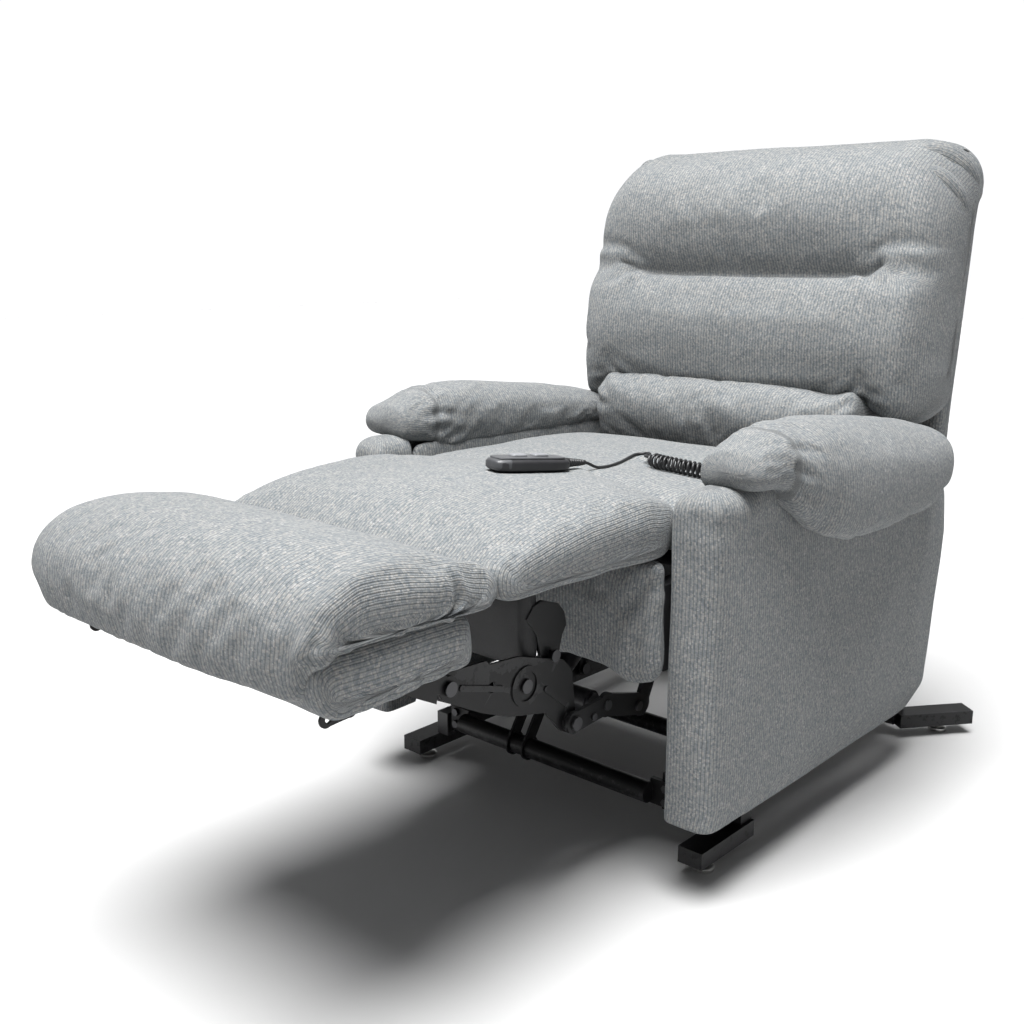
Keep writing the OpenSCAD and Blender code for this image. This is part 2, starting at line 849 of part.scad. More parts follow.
module head_cushion() {
  color(cloth) intersection() {
    slab(-back_half_w, back_half_w) polygon([
      [474, 848], [482, 900], [512, 968], [560, 1030], [586, back_top - 2], [610, back_top],
      [650, back_top - 14], [678, 1010], [frame_y(1001) + 37, 1001], [frame_y(1001) - 0.3, 1001],
      [frame_y(848) - 0.3, 848]]);
    slab_y(400, 800) polygon([
      [-back_half_w, 840], [back_half_w, 840], [back_half_w - 4, 930], [back_half_w - 25, 984],
      [back_crown + 14, 1034], [back_crown - 10, back_top + 1], [10 - back_crown, back_top + 1],
      [-back_crown - 14, 1034], [25 - back_half_w, 984], [4 - back_half_w, 930]]);
  }
}

// ---------- handset and cord ----------

handset_tilt = -5;
handset_turn = 15;
handset_at = [44, -145, 567.5];
face_t = 3;

// Places the children in the handset's own frame: +Y towards the cord, +Z out of its face
module at_handset() {
  translate(handset_at) rotate([handset_tilt, 0, -handset_turn]) children();
}

module handset_outline(grow) {
  l = handset_l / 2 + grow;
  w = handset_w / 2 + grow;
  polygon([
    [-w + 10, -l], [w - 10, -l], [w - 3, -l + 5], [w, -l + 16], [w, l - 40], [w - 6, l - 12],
    [w - 12, l], [-w + 12, l], [-w + 6, l - 12], [-w, l - 40], [-w, -l + 16], [-w + 3, -l + 5]]);
}

button_y = [-20, 16];
button_l = 26;
button_w = 18;
button_travel = 1.2;

module handset_shell() {
  color(black) at_handset() difference() {
    linear_extrude(handset_t - face_t) handset_outline(0);
    for (y = button_y) translate([-button_w / 2 - 1, y - button_l / 2 - 1, handset_t - face_t - 4])
      cube([button_w + 2, button_l + 2, 5]);
    // socket for the cord
    translate([0, handset_l / 2 - 12, 11]) rotate([-90, 0, 0]) cylinder(r = 4.6, h = 20);
  }
  // tapered cord relief
  color(black) at_handset() translate([0, handset_l / 2 - 10, 11]) rotate([-90, 0, 0])
    rotate_extrude($fn = fine) polygon([
      [2.95, 0], [4.5, 0], [4.5, 10.2], [7.4, 10.2], [7, 16], [5.4, 36], [4.4, 44], [2.95, 44]]);
}

module handset_face() {
  color(grey) at_handset() translate([0, 0, handset_t - face_t]) difference() {
    linear_extrude(face_t) handset_outline(-2.5);
    for (y = button_y) translate([-button_w / 2 - 0.4, y - button_l / 2 - 0.4, -1])
      cube([button_w + 0.8, button_l + 0.8, face_t + 2]);
  }
}

module handset_button(y) {
  at_handset() translate([0, y, handset_t - face_t]) {
    translate([-button_w / 2, -button_l / 2, -1.5]) cube([button_w, button_l, face_t + 2.5]);
    translate([-button_w / 2 + 2, -button_l / 2 + 2, face_t]) cube([button_w - 4, button_l - 4, 3]);
  }
}

module handset_button_up() {
  color(grey) handset_button(button_y[0]);
}

module handset_button_down() {
  color(grey) handset_button(button_y[1]);
}

// Cord: a thin lead, the curly part as one tube of its outer diameter, and a short tail
lead_route = concat([for (y = [54, 68, 83, 98]) in_handset(y)], [
  [73, -30, 561], [72.5, -15, 558.5], [71, 2, 557.5], [69, 20, 558], [66, 38, 559.5], [62, 56, 562.5],
  [58, 73, 566.5], [56.5, 88, 570], [60, 98, 571.5], [68, 102, 572], [77, 98, 571.5], [84, 88, 571],
  [88, 75, 570.5]]);
coil_route = [
  [88, 75, 570.5], [93, 61, 569.5], [102, 51, 568], [116, 43, 566.5], [132, 36, 565.5], [150, 31, 565],
  [168, 32, 564.5], [184, 38, 563.5], [199, 46, 562.5], [214, 52, 561.5]];
tail_route = [
  [214, 52, 561.5], [226, 55, 560], [238, 55, 557.8], [250, 53, 555], [259, 49.5, 552.3],
  [268, 47, 549.3], [275, 46, 547.3], [282, 46, 547]];

// A point on the axis of the cord's socket, in the chair's frame
function in_handset(y) =
  let (a = handset_tilt, t = handset_turn, v = [0, y * cos(a) - 11 * sin(a), y * sin(a) + 11 * cos(a)])
  handset_at + [v[1] * sin(t), v[1] * cos(t), v[2]];

function unit(v) = v / norm(v);
function tangent(p, i) = unit(p[min(i + 1, len(p) - 1)] - p[max(i - 1, 0)]);
function ring(p, i, r, n) =
  let (t = tangent(p, i), s = unit(cross([0, 0, 1], t)), u = cross(t, s))
  [for (k = [0 : n - 1]) p[i] + r * (cos(360 * k / n) * s + sin(360 * k / n) * u)];

module swept_tube(p, r, n) {
  m = len(p);
  points = [for (i = [0 : m - 1]) for (q = ring(p, i, r, n)) q];
  sides = [for (i = [0 : m - 2]) for (k = [0 : n - 1])
    [i * n + k, i * n + (k + 1) % n, (i + 1) * n + (k + 1) % n, (i + 1) * n + k]];
  ends = [[for (k = [n - 1 : -1 : 0]) k], [for (k = [0 : n - 1]) (m - 1) * n + k]];
  polyhedron(points, concat(ends, sides));
}

module handset_cord() {
  color(black) {
    swept_tube(lead_route, cord_d / 2, 10);
    swept_tube(tail_route, cord_d / 2, 10);
  }
}

module handset_coil() {
  color(black) swept_tube(coil_route, coil_d / 2, 12);
}

module cord_gland() {
  color(black) translate([inner_face - 1, gland_at[0], gland_at[1]]) rotate([0, 90, 0]) difference() {
    union() {
      cylinder(r = 9, h = 2);
      cylinder(r = 6.5, h = 10);
    }
    translate([0, 0, -1]) cylinder(r = cord_d / 2 + 0.2, h = 12);
  }
}

base_side_rails();
base_end_plugs();
base_front_tube();
base_rear_tube();
front_foot_arms();
rear_foot_arms();
levelling_feet();
lock_nuts();
lift_pivot_brackets();
base_bolts();
base_pivot_pins();
lift_motor_bracket();
power_box();
power_inlet();
lift_link_arms();
lift_torque_tube();
rear_link_arms();
lift_motor();
lift_rod();
chassis_plates();
chassis_cross_members();
chassis_hangers();
chassis_pins();
seat_box();
seat_front_rail();
seat_springs();
seat_cushion();
leg_pad_rear();
arm_posts();
side_panels();
arm_inner_panels();
arm_rails();
arm_pillows();
leg_motor();
leg_rod();
leg_torque_tube();
leg_link_arms();
leg_link_caps();
leg_couplers();
coupler_pins();
mid_ottoman_board();
mid_ottoman_brackets();
leg_pad_front();
foot_pad();
ottoman_board();
ottoman_brackets();
ottoman_front_brackets();
back_frame();
back_hinges();
outer_back_panel();
lumbar_cushion();
mid_back_cushion();
head_cushion();
handset_shell();
handset_face();
handset_button_up();
handset_button_down();
handset_cord();
handset_coil();
cord_gland();
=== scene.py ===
import math

import bpy
import numpy as np
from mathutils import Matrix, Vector


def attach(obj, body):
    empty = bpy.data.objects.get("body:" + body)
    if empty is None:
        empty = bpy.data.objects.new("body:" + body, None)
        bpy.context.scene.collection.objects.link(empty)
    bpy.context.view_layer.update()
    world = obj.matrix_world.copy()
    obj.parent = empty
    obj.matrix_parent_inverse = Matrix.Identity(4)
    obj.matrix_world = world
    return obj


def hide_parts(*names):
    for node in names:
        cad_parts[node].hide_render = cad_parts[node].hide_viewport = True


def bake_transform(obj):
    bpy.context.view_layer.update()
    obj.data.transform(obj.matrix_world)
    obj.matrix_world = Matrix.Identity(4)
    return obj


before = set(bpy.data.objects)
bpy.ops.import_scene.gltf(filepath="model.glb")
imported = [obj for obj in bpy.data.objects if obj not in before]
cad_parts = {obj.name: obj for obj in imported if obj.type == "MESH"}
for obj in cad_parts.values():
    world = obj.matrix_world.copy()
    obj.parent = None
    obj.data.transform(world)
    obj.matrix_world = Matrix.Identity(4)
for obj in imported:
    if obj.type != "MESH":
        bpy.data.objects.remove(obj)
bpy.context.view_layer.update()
scene = bpy.context.scene
MM = 0.001
BOTH = (-1, 1)


def smooth(a, b, x):
    t = np.clip((np.asarray(x, float) - a) / (b - a), 0, 1)
    return t * t * (3 - 2 * t)


# ---------- camera ----------


def make_camera():
    azimuth, elevation = math.radians(42.36), math.radians(12.67)
    back = Vector(
        (
            math.sin(azimuth) * math.cos(elevation), -math.cos(azimuth) * math.cos(elevation),
            math.sin(elevation),
        )
    )
    data = bpy.data.cameras.new("camera")
    data.sensor_width = 36
    data.lens = 41.05
    data.clip_start, data.clip_end = 0.05, 80
    cam = bpy.data.objects.new("camera", data)
    cam.location = (1.1130, -1.3519, 0.8707)
    cam.rotation_mode = "QUATERNION"
    cam.rotation_quaternion = (-back).to_track_quat("-Z", "Y")
    scene.collection.objects.link(cam)
    scene.camera = cam


make_camera()


# ---------- curves ----------


def spline(points, n, closed=True):
    """Points along a smooth curve through the given ones, evenly spaced by length."""
    p = np.array(points, float)
    m = len(p)
    if closed:
        q = np.vstack([p[-2:], p, p[:3]])
    else:
        q = np.vstack([2 * p[0] - p[1], p, 2 * p[-1] - p[-2]])
    gaps = np.linalg.norm(np.diff(q, axis=0), axis=1) ** 0.5 + 1e-9
    s = np.concatenate([[0], np.cumsum(gaps)])
    slope = np.zeros_like(q)
    h0, h1 = gaps[:-1, None], gaps[1:, None]
    d0, d1 = (q[1:-1] - q[:-2]) / h0, (q[2:] - q[1:-1]) / h1
    slope[1:-1] = (d0 * h1 + d1 * h0) / (h0 + h1)
    slope[0], slope[-1] = (q[1] - q[0]) / gaps[0], (q[-1] - q[-2]) / gaps[-1]
    first = 2 if closed else 1
    last = first + (m if closed else m - 1)
    out = []
    t = np.linspace(0, 1, 14, endpoint=False)[:, None]
    for i in range(first, last):
        h = s[i + 1] - s[i]
        out.append(
            (2 * t**3 - 3 * t**2 + 1) * q[i]
            + (t**3 - 2 * t**2 + t) * h * slope[i]
            + (-2 * t**3 + 3 * t**2) * q[i + 1]
            + (t**3 - t**2) * h * slope[i + 1]
        )
    d = np.vstack(out + [q[last][None]])
    run = np.concatenate([[0], np.cumsum(np.linalg.norm(np.diff(d, axis=0), axis=1))])
    want = np.linspace(0, run[-1], n + 1 if closed else n)
    if closed:
        want = want[:-1]
    return np.stack([np.interp(want, run, d[:, k]) for k in range(d.shape[1])], 1)


def length_of(path):
    return float(np.linalg.norm(np.diff(np.array(path), axis=0), axis=1).sum())


def frames_along(path):
    """Tangent and two sideways directions at each point, with no sudden turn between them."""
    p = np.array(path, float)
    t = np.gradient(p, axis=0)
    t /= np.linalg.norm(t, axis=1)[:, None]
    side = np.cross([0, 0, 1.0], t[0])
    side /= np.linalg.norm(side)
    a, b = [], []
    for k in t:
        side = side - (side @ k) * k
        side /= np.linalg.norm(side)
        a.append(side)
        b.append(np.cross(k, side))
    return t, np.array(a), np.array(b)


# ---------- meshes ----------


def surface(name, verts, quads, quad_uv, tris, tri_uv, material, subdivide=0):
    """Mesh from arrays of quads and triangles, turned so that its faces look outward."""
    triangles = np.vstack([quads[:, [0, 1, 2]], quads[:, [0, 2, 3]], tris])
    a, b, c = (verts[triangles[:, k]] for k in range(3))
    if float(np.einsum("ij,ij->i", a, np.cross(b, c)).sum()) < 0:
        quads, quad_uv, tris, tri_uv = quads[:, ::-1], quad_uv[:, ::-1], tris[:, ::-1], tri_uv[:, ::-1]
    mesh = bpy.data.meshes.new(name)
    mesh.from_pydata(verts.tolist(), [], quads.tolist() + tris.tolist())
    layer = mesh.uv_layers.new(name="weave")
    both = np.concatenate([quad_uv.reshape(-1, 2), tri_uv.reshape(-1, 2)])
    layer.data.foreach_set("uv", both.astype(np.float32).ravel())
    mesh.polygons.foreach_set("use_smooth", [True] * len(mesh.polygons))
    mesh.materials.append(material)
    obj = bpy.data.objects.new(name, mesh)
    scene.collection.objects.link(obj)
    if subdivide:
        m = obj.modifiers.new("subdivision", "SUBSURF")
        m.levels = m.render_levels = subdivide
    return obj


def net(nv, nu):
    """Quads between rings of points, and the triangles that close both ends on two poles."""
    i, j = np.meshgrid(np.arange(nv - 1), np.arange(nu), indexing="ij")
    k = (j + 1) % nu
    quads = np.stack([i * nu + j, i * nu + k, (i + 1) * nu + k, (i + 1) * nu + j], -1).reshape(-1, 4)
    j = np.arange(nu)
    k = (j + 1) % nu
    last = (nv - 1) * nu
    near = np.stack([k, j, np.full(nu, nv * nu)], -1)
    far = np.stack([last + j, last + k, np.full(nu, nv * nu + 1)], -1)
    return quads, np.vstack([near, far])


def skin(name, grid, material, along_ring=True, subdivide=1, planar=None, turned=0):
    """Closed mesh over rings of points, with its weave coordinates in metres."""
    nv, nu = grid.shape[:2]
    verts = np.vstack([grid.reshape(-1, 3), grid[0].mean(0), grid[-1].mean(0)])
    quads, tris = net(nv, nu)
    around = np.linalg.norm(np.roll(grid, -1, 1) - grid, axis=2)
    arc = np.concatenate([[0], np.cumsum(around[int(np.argmax(around.sum(1)))])])
    run = np.vstack([np.zeros(nu), np.cumsum(np.linalg.norm(np.diff(grid, axis=0), axis=2), axis=0)])
    run = run - run[nv // 2]
    wide = np.concatenate([run, run[:, :1]], 1)
    uv = np.stack([wide, np.broadcast_to(arc, wide.shape)], -1)
    if planar:
        both = np.concatenate([grid, grid[:, :1]], 1)
        uv = both[:, :, list(planar)]
    elif not along_ring:
        uv = uv[:, :, ::-1]
    if turned:
        uv = uv.copy()
        uv[:turned] = uv[:turned, :, ::-1]
    i, j = np.meshgrid(np.arange(nv - 1), np.arange(nu), indexing="ij")
    quad_uv = np.stack([uv[i, j], uv[i, j + 1], uv[i + 1, j + 1], uv[i + 1, j]], 2).reshape(-1, 4, 2)
    j = np.arange(nu)
    near = np.stack([uv[0, j + 1], uv[0, j], uv[0, j]], 1)
    far = np.stack([uv[-1, j], uv[-1, j + 1], uv[-1, j]], 1)
    return surface(name, verts, quads, quad_uv, tris, np.concatenate([near, far]), material, subdivide)


def stations(half, rim, step, low=None):
    """Positions from one end to the other, closer together near the rounded ends."""
    low = -half if low is None else low
    turn = np.linspace(0, math.pi / 2, 9)[:-1]
    edge = rim * (1 - np.cos(turn))
    inner = np.linspace(low + rim, half - rim, max(3, int((half - low - 2 * rim) / step) + 1))
    return np.concatenate([low + edge, inner, (half - edge)[::-1]])


def rim_scale(x, low, high, rim, power, least=0.04):
    """1 along the middle, falling to almost 0 at both ends."""
    t = np.clip(1 - np.minimum(x - low, high - x) / rim, 0, 1)
    return np.maximum((1 - t**power) ** (1 / power), least)


def sweep(axis, where, ring, spine, squeeze):
    """Rings of points in millimetres along an axis, each drawn in towards its spine, as a grid in metres."""
    grid = []
    for s, k in zip(where, squeeze, strict=True):
        r = ring(s)
        m = spine(s, r)
        q = m + (r - m) * k
        c = np.full(len(q), s)
        cols = {"X": (c, q[:, 0], q[:, 1]), "Y": (q[:, 0], c, q[:, 1]), "Z": (q[:, 0], q[:, 1], c)}
        grid.append(np.stack(cols[axis], 1))
    return np.array(grid) * MM


def across(half, rim, step, ring, spine, power):
    """A piece that runs from side to side, with rounded ends."""
    xs = stations(half, rim, step)
    return sweep("X", xs, ring, spine, rim_scale(xs, -half, half, rim, power))


def outward(grid):
    """Directions straight out of a closed grid."""
    du = np.roll(grid, -1, 1) - np.roll(grid, 1, 1)
    dv = np.gradient(grid, axis=0)
    n = np.cross(dv, du)
    n /= np.linalg.norm(n, axis=2)[:, :, None] + 1e-12
    away = grid - grid.mean(1)[:, None, :]
    mid = slice(len(grid) // 4, -len(grid) // 4)
    return n if (n[mid] * away[mid]).sum() > 0 else -n


def nearest(grid, path):
    """Distance from each point to a path, and how far along the path that is, from 0 to 1."""
    p = np.array(path, float) * MM
    flat = grid.reshape(-1, 3)
    best = np.full(len(flat), 1e9)
    where = np.zeros(len(flat))
    total, done = length_of(p), 0.0
    for a, b in zip(p[:-1], p[1:], strict=True):
        d = b - a
        size = float(np.linalg.norm(d))
        t = np.clip((flat - a) @ d / size**2, 0, 1)
        gap = np.linalg.norm(flat - a - t[:, None] * d, axis=1)
        near = gap < best
        best[near] = gap[near]
        where[near] = ((done + t * size) / total)[near]
        done += size
    return best.reshape(grid.shape[:2]), where.reshape(grid.shape[:2])


def fold(grid, path, depth, width, lip=0.35, start=0.25, end=0.25):
    """Presses a crease along a path, with a raised lip beside it. Lengths are in millimetres."""
    d, s = nearest(grid, path)
    w = width * MM
    fade = np.ones_like(s)
    if start > 0:
        fade *= smooth(0, start, s)
    if end > 0:
        fade *= smooth(0, end, 1 - s)
    push = -np.exp(-((d / w) ** 2)) + lip * np.exp(-(((d - 2.1 * w) / (1.2 * w)) ** 2))
    return grid + outward(grid) * (push * fade * depth * MM)[:, :, None]


def folds(grid, creases, sides=(1,)):
    """Presses several creases. Each one is a path, then what fold() takes after it."""
    for s in sides:
        for path, *how in creases:
            grid = fold(grid, [(s * x, y, z) for x, y, z in path], *how)
    return grid


def gathers(grid, path, height, wave, reach, seed):
    """Small puckers that run away from a seam."""
    rng = np.random.default_rng(seed)
    d, s = nearest(grid, path)
    run = s * length_of(np.array(path) * MM)
    ripple = np.zeros_like(run)
    for k in range(4):
        ripple += np.sin(
            run / (wave * MM * (0.7 + 0.28 * k)) * 2 * math.pi + rng.uniform(0, 7)
        ) / (1 + 0.5 * k)
    amount = ripple / 2 * np.exp(-((d / (reach * MM)) ** 1.5))
    return grid + outward(grid) * (amount * height * MM)[:, :, None]


def uneven(grid, height, wave, seed):
    """Soft lumps, as in fibre filling."""
    rng = np.random.default_rng(seed)
    total = np.zeros(grid.shape[:2])
    for _ in range(9):
        way = rng.normal(size=3)
        way /= np.linalg.norm(way)
        total += np.sin(
            (grid @ way) * 2 * math.pi / (wave * MM * rng.uniform(0.6, 1.6)) + rng.uniform(0, 7)
        )
    return grid + outward(grid) * (total / 5 * height * MM)[:, :, None]


def bedded(grid, path, under, flat, reach):
    """Brings the top of a pad to just under what lies on it. Lengths are in millimetres."""
    p = spline(path, 60, closed=False) * MM
    gap = np.linalg.norm(grid[:, :, None, :2] - p[None, None, :, :2], axis=3)
    best = gap.argmin(2)
    near = 1 - smooth(flat * MM, reach * MM, gap.min(2))
    level = p[best, 2] - under * MM
    upper = smooth(0.525, 0.540, grid[:, :, 2])
    out = grid.copy()
    out[:, :, 2] += (level - grid[:, :, 2]) * near * upper
    return out


def mirrored(grid):
    return grid * np.array([-1.0, 1, 1])


# ---------- cloth ----------


def settle(grid, pinned, pressure, spare, cap, frames=16):
    """Runs cloth over a closed grid of rings and returns the settled grid. The fabric has a little to spare,
    its filling pushes it out, and it is held where it is sewn. No point moves more than cap millimetres."""
    nv, nu = grid.shape[:2]
    verts = np.vstack([grid.reshape(-1, 3), grid[0].mean(0), grid[-1].mean(0)])
    quads, tris = net(nv, nu)
    faces = quads.tolist() + tris.tolist()
    n = outward(grid)
    i, j = nv // 2, nu // 4
    du, dv = grid[i, j + 1] - grid[i, j], grid[i + 1, j] - grid[i, j]
    if np.cross(du, dv) @ n[i, j] < 0:
        faces = [f[::-1] for f in faces]
    mesh = bpy.data.meshes.new("settling")
    mesh.from_pydata([tuple(v) for v in verts], [], faces)
    obj = bpy.data.objects.new("settling", mesh)
    scene.collection.objects.link(obj)
    group = obj.vertex_groups.new(name="sewn")
    hold = np.concatenate([pinned.ravel(), [1, 1]])
    for v in np.nonzero(hold > 0.02)[0]:
        group.add([int(v)], float(min(1, hold[v])), "REPLACE")
    cloth = obj.modifiers.new("cloth", "CLOTH")
    c = cloth.settings
    c.quality = 4
    c.mass = 0.25
    c.tension_stiffness = c.compression_stiffness = 18
    c.shear_stiffness = 6
    c.bending_stiffness = 0.6
    c.air_damping = 3
    c.vertex_group_mass = "sewn"
    c.pin_stiffness = 1
    c.use_pressure = True
    c.uniform_pressure_force = pressure
    c.shrink_min = -spare
    c.effector_weights.gravity = 0
    cloth.collision_settings.use_collision = False
    cloth.point_cache.frame_start = 1
    cloth.point_cache.frame_end = frames
    for f in range(1, frames + 1):
        scene.frame_set(f)
    made = obj.evaluated_get(bpy.context.evaluated_depsgraph_get())
    co = np.zeros(len(verts) * 3)
    made.data.vertices.foreach_get("co", co)
    co = co.reshape(-1, 3)[: nv * nu].reshape(grid.shape)
    bpy.data.objects.remove(obj)
    bpy.data.meshes.remove(mesh)
    scene.frame_set(1)
    move = co - grid
    far = np.linalg.norm(move, axis=2)
    limit = cap * MM
    return grid + move * (np.minimum(far, limit) / np.maximum(far, 1e-9))[:, :, None]


# ---------- materials ----------


class Graph:
    """Short names for making shader nodes."""

    def __init__(self, name):
        self.material = bpy.data.materials.new(name)
        self.material.use_nodes = True
        self.nodes = self.material.node_tree.nodes
        self.links = self.material.node_tree.links
        self.nodes.clear()
        self.out = self.nodes.new("ShaderNodeOutputMaterial")
        self.shader = self.nodes.new("ShaderNodeBsdfPrincipled")
        self.links.new(self.shader.outputs[0], self.out.inputs[0])

    def put(self, socket, value):
        if isinstance(value, bpy.types.NodeSocket):
            self.links.new(value, socket)
        elif value is not None:
            socket.default_value = value

    def math(self, op, a, b=None, c=None, clamp=False):
        n = self.nodes.new("ShaderNodeMath")
        n.operation = op
        n.use_clamp = clamp
        for socket, value in zip(n.inputs, (a, b, c), strict=False):
            self.put(socket, value)
        return n.outputs[0]

    def vec(self, op, a, b=None):
        n = self.nodes.new("ShaderNodeVectorMath")
        n.operation = op
        self.put(n.inputs[0], a)
        if op == "SCALE":
            self.put(n.inputs[3], b)
        elif b is not None:
            self.put(n.inputs[1], b)
        return n.outputs[0]

    def noise(self, vector, scale, detail=2.0, rough=0.5, out=0):
        n = self.nodes.new("ShaderNodeTexNoise")
        self.put(n.inputs["Vector"], vector)
        n.inputs["Scale"].default_value = scale
        n.inputs["Detail"].default_value = detail
        n.inputs["Roughness"].default_value = rough
        return n.outputs[out]

    def white(self, x, y=None):
        n = self.nodes.new("ShaderNodeTexWhiteNoise")
        if y is None:
            n.noise_dimensions = "1D"
            self.put(n.inputs["W"], x)
        else:
            n.noise_dimensions = "2D"
            c = self.nodes.new("ShaderNodeCombineXYZ")
            self.put(c.inputs[0], x)
            self.put(c.inputs[1], y)
            self.links.new(c.outputs[0], n.inputs["Vector"])
        return n.outputs["Value"]

    def ramp(self, value, stops):
        n = self.nodes.new("ShaderNodeValToRGB")
        for _ in range(len(stops) - 2):
            n.color_ramp.elements.new(0.5)
        for e, (at, colour) in zip(n.color_ramp.elements, stops, strict=True):
            e.position = at
            e.color = (*colour, 1)
        self.put(n.inputs[0], value)
        return n.outputs[0]

    def mix(self, kind, factor, a, b):
        n = self.nodes.new("ShaderNodeMix")
        n.data_type = "RGBA"
        n.blend_type = kind
        self.put(n.inputs[0], factor)
        self.put(n.inputs[6], a if isinstance(a, bpy.types.NodeSocket) else (*a, 1))
        self.put(n.inputs[7], b if isinstance(b, bpy.types.NodeSocket) else (*b, 1))
        return n.outputs[2]

    def shaded(self, colour, value, amount, least):
        """The colour, darkened where the value is low."""
        level = self.math("MULTIPLY_ADD", value, amount, least)
        n = self.nodes.new("ShaderNodeCombineXYZ")
        for k in range(3):
            self.put(n.inputs[k], level)
        return self.mix("MULTIPLY", 1.0, colour, n.outputs[0])

    def rough(self, value, amount, least):
        self.put(self.shader.inputs["Roughness"], self.math("MULTIPLY_ADD", value, amount, least))

    def bump(self, height, strength, distance, normal=None):
        n = self.nodes.new("ShaderNodeBump")
        n.inputs["Strength"].default_value = strength
        n.inputs["Distance"].default_value = distance
        self.put(n.inputs["Height"], height)
        self.put(n.inputs["Normal"], normal)
        return n.outputs[0]

    def place(self):
        return self.nodes.new("ShaderNodeTexCoord").outputs["Object"]

    def set(self, **sockets):
        for name, value in sockets.items():
            self.put(self.shader.inputs[name.replace("_", " ")], value)
        return self.material


# metres across a yarn and along a slub, and how many short slubs there are to a long one
YARN = 0.00275
SLUB = 0.0036
SHORT_SLUBS = 2.35


def tweed(name, dark):
    """Ribbed blue-grey tweed. Ribs, of two yarns each, run along the second weave coordinate."""
    g = Graph(name)
    uv = g.nodes.new("ShaderNodeUVMap")
    uv.uv_map = "weave"
    warp = g.vec("SUBTRACT", g.noise(uv.outputs[0], 60, 2, 0.6, 1), (0.5, 0.5, 0.5))
    at = g.vec("ADD", uv.outputs[0], g.vec("SCALE", warp, 0.0015))
    sep = g.nodes.new("ShaderNodeSeparateXYZ")
    g.put(sep.inputs[0], at)
    count = g.math("DIVIDE", sep.outputs[0], YARN)
    row = g.math("FLOOR", count)
    shift = g.white(row)
    along = g.math("ADD", g.math("DIVIDE", sep.outputs[1], SLUB), g.math("MULTIPLY", shift, 13.7))
    slub = g.white(row, g.math("FLOOR", along))
    slub2 = g.white(g.math("ADD", row, 0.37), g.math("FLOOR", g.math("MULTIPLY", along, SHORT_SLUBS)))
    pick = g.math("ADD", g.math("MULTIPLY", slub, 0.6), g.math("MULTIPLY", slub2, 0.4))
    shades = [
        (0.10, (0.124, 0.137, 0.147)), (0.32, (0.160, 0.173, 0.181)), (0.50, (0.190, 0.199, 0.202)),
        (0.68, (0.220, 0.225, 0.222)), (0.82, (0.258, 0.251, 0.238)), (0.94, (0.296, 0.298, 0.295)),
    ]
    yarn = g.ramp(pick, [(at, [c * dark for c in colour]) for at, colour in shades])
    # painted light and shade: the colour is lighter on each rib's crown and darker in the groove between one
    # rib and the next
    pair = g.math("ABSOLUTE", g.math("SINE", g.math("MULTIPLY", count, math.pi / 2)))
    yarn = g.shaded(yarn, g.math("POWER", pair, 0.7), 0.52, 0.68)
    rib = g.math("ABSOLUTE", g.math("SINE", g.math("MULTIPLY", count, math.pi)))
    cross = g.math("ABSOLUTE", g.math("SINE", g.math("MULTIPLY", along, math.pi * SHORT_SLUBS)))
    # painted shade: the colour is darker in the groove between the two yarns of each rib
    yarn = g.shaded(yarn, rib, 0.22, 0.84)
    place = g.place()
    yarn = g.shaded(yarn, g.noise(place, 5.5, 3, 0.55), 0.16, 0.92)
    fuzz = g.noise(place, 900, 3, 0.7)
    yarn = g.shaded(yarn, fuzz, 0.24, 0.88)
    height = g.math(
        "ADD",
        g.math(
            "MULTIPLY", g.math("POWER", rib, 0.6),
            g.math("MULTIPLY_ADD", pair, 0.8, g.math("MULTIPLY_ADD", cross, 0.25, 0.15)),
        ),
        g.math("ADD", g.math("MULTIPLY", fuzz, 0.30), g.math("MULTIPLY", pick, 0.30)),
    )
    fine = g.bump(height, 0.7, 0.0008)
    wide = g.bump(g.noise(place, 38, 3, 0.55), 0.18, 0.006, fine)
    g.rough(fuzz, 0.14, 0.80)
    return g.set(
        Base_Color=yarn, Normal=wide, Specular_IOR_Level=0.14, Sheen_Weight=0.10, Sheen_Roughness=0.5,
        Sheen_Tint=(0.86, 0.90, 0.94, 1),
    )


def edges(g):
    """1 on worn outer edges, 0 elsewhere."""
    n = g.nodes.new("ShaderNodeNewGeometry")
    m = g.nodes.new("ShaderNodeMapRange")
    g.put(m.inputs[0], n.outputs["Pointiness"])
    m.inputs[1].default_value, m.inputs[2].default_value = 0.51, 0.56
    return m.outputs[0]


def painted_steel(name):
    g = Graph(name)
    p = g.place()
    peel = g.noise(p, 520, 2, 0.5)
    cloud = g.noise(p, 14, 4, 0.6)
    scuff = g.math("MULTIPLY", g.noise(p, 85, 5, 0.75), edges(g))
    worn = g.math("GREATER_THAN", scuff, 0.43)
    base = g.ramp(cloud, [(0.3, (0.0040, 0.0040, 0.0044)), (0.7, (0.0080, 0.0080, 0.0086))])
    colour = g.mix("MIX", g.math("MULTIPLY", worn, 0.35), base, (0.05, 0.05, 0.052))
    g.rough(cloud, 0.26, 0.30)
    return g.set(Base_Color=colour, Normal=g.bump(peel, 0.16, 0.0004), Specular_IOR_Level=0.24)


def bare_steel(name, tint, rough):
    g = Graph(name)
    p = g.place()
    stretch = g.vec("MULTIPLY", p, (40, 900, 900))
    brushed = g.noise(stretch, 1, 3, 0.6)
    cloud = g.noise(p, 60, 4, 0.6)
    colour = g.shaded(tint, cloud, 0.35, 0.80)
    g.rough(cloud, 0.22, rough)
    return g.set(Base_Color=colour, Metallic=1.0, Normal=g.bump(brushed, 0.10, 0.0003))


def moulded(name, tint, rough, grain=1400, depth=0.22):
    g = Graph(name)
    p = g.place()
    pits = g.noise(p, grain, 3, 0.6)
    cloud = g.noise(p, 45, 3, 0.6)
    colour = g.shaded(tint, cloud, 0.45, 0.78)
    g.rough(cloud, 0.18, rough)
    return g.set(Base_Color=colour, Normal=g.bump(pits, depth, 0.0003))


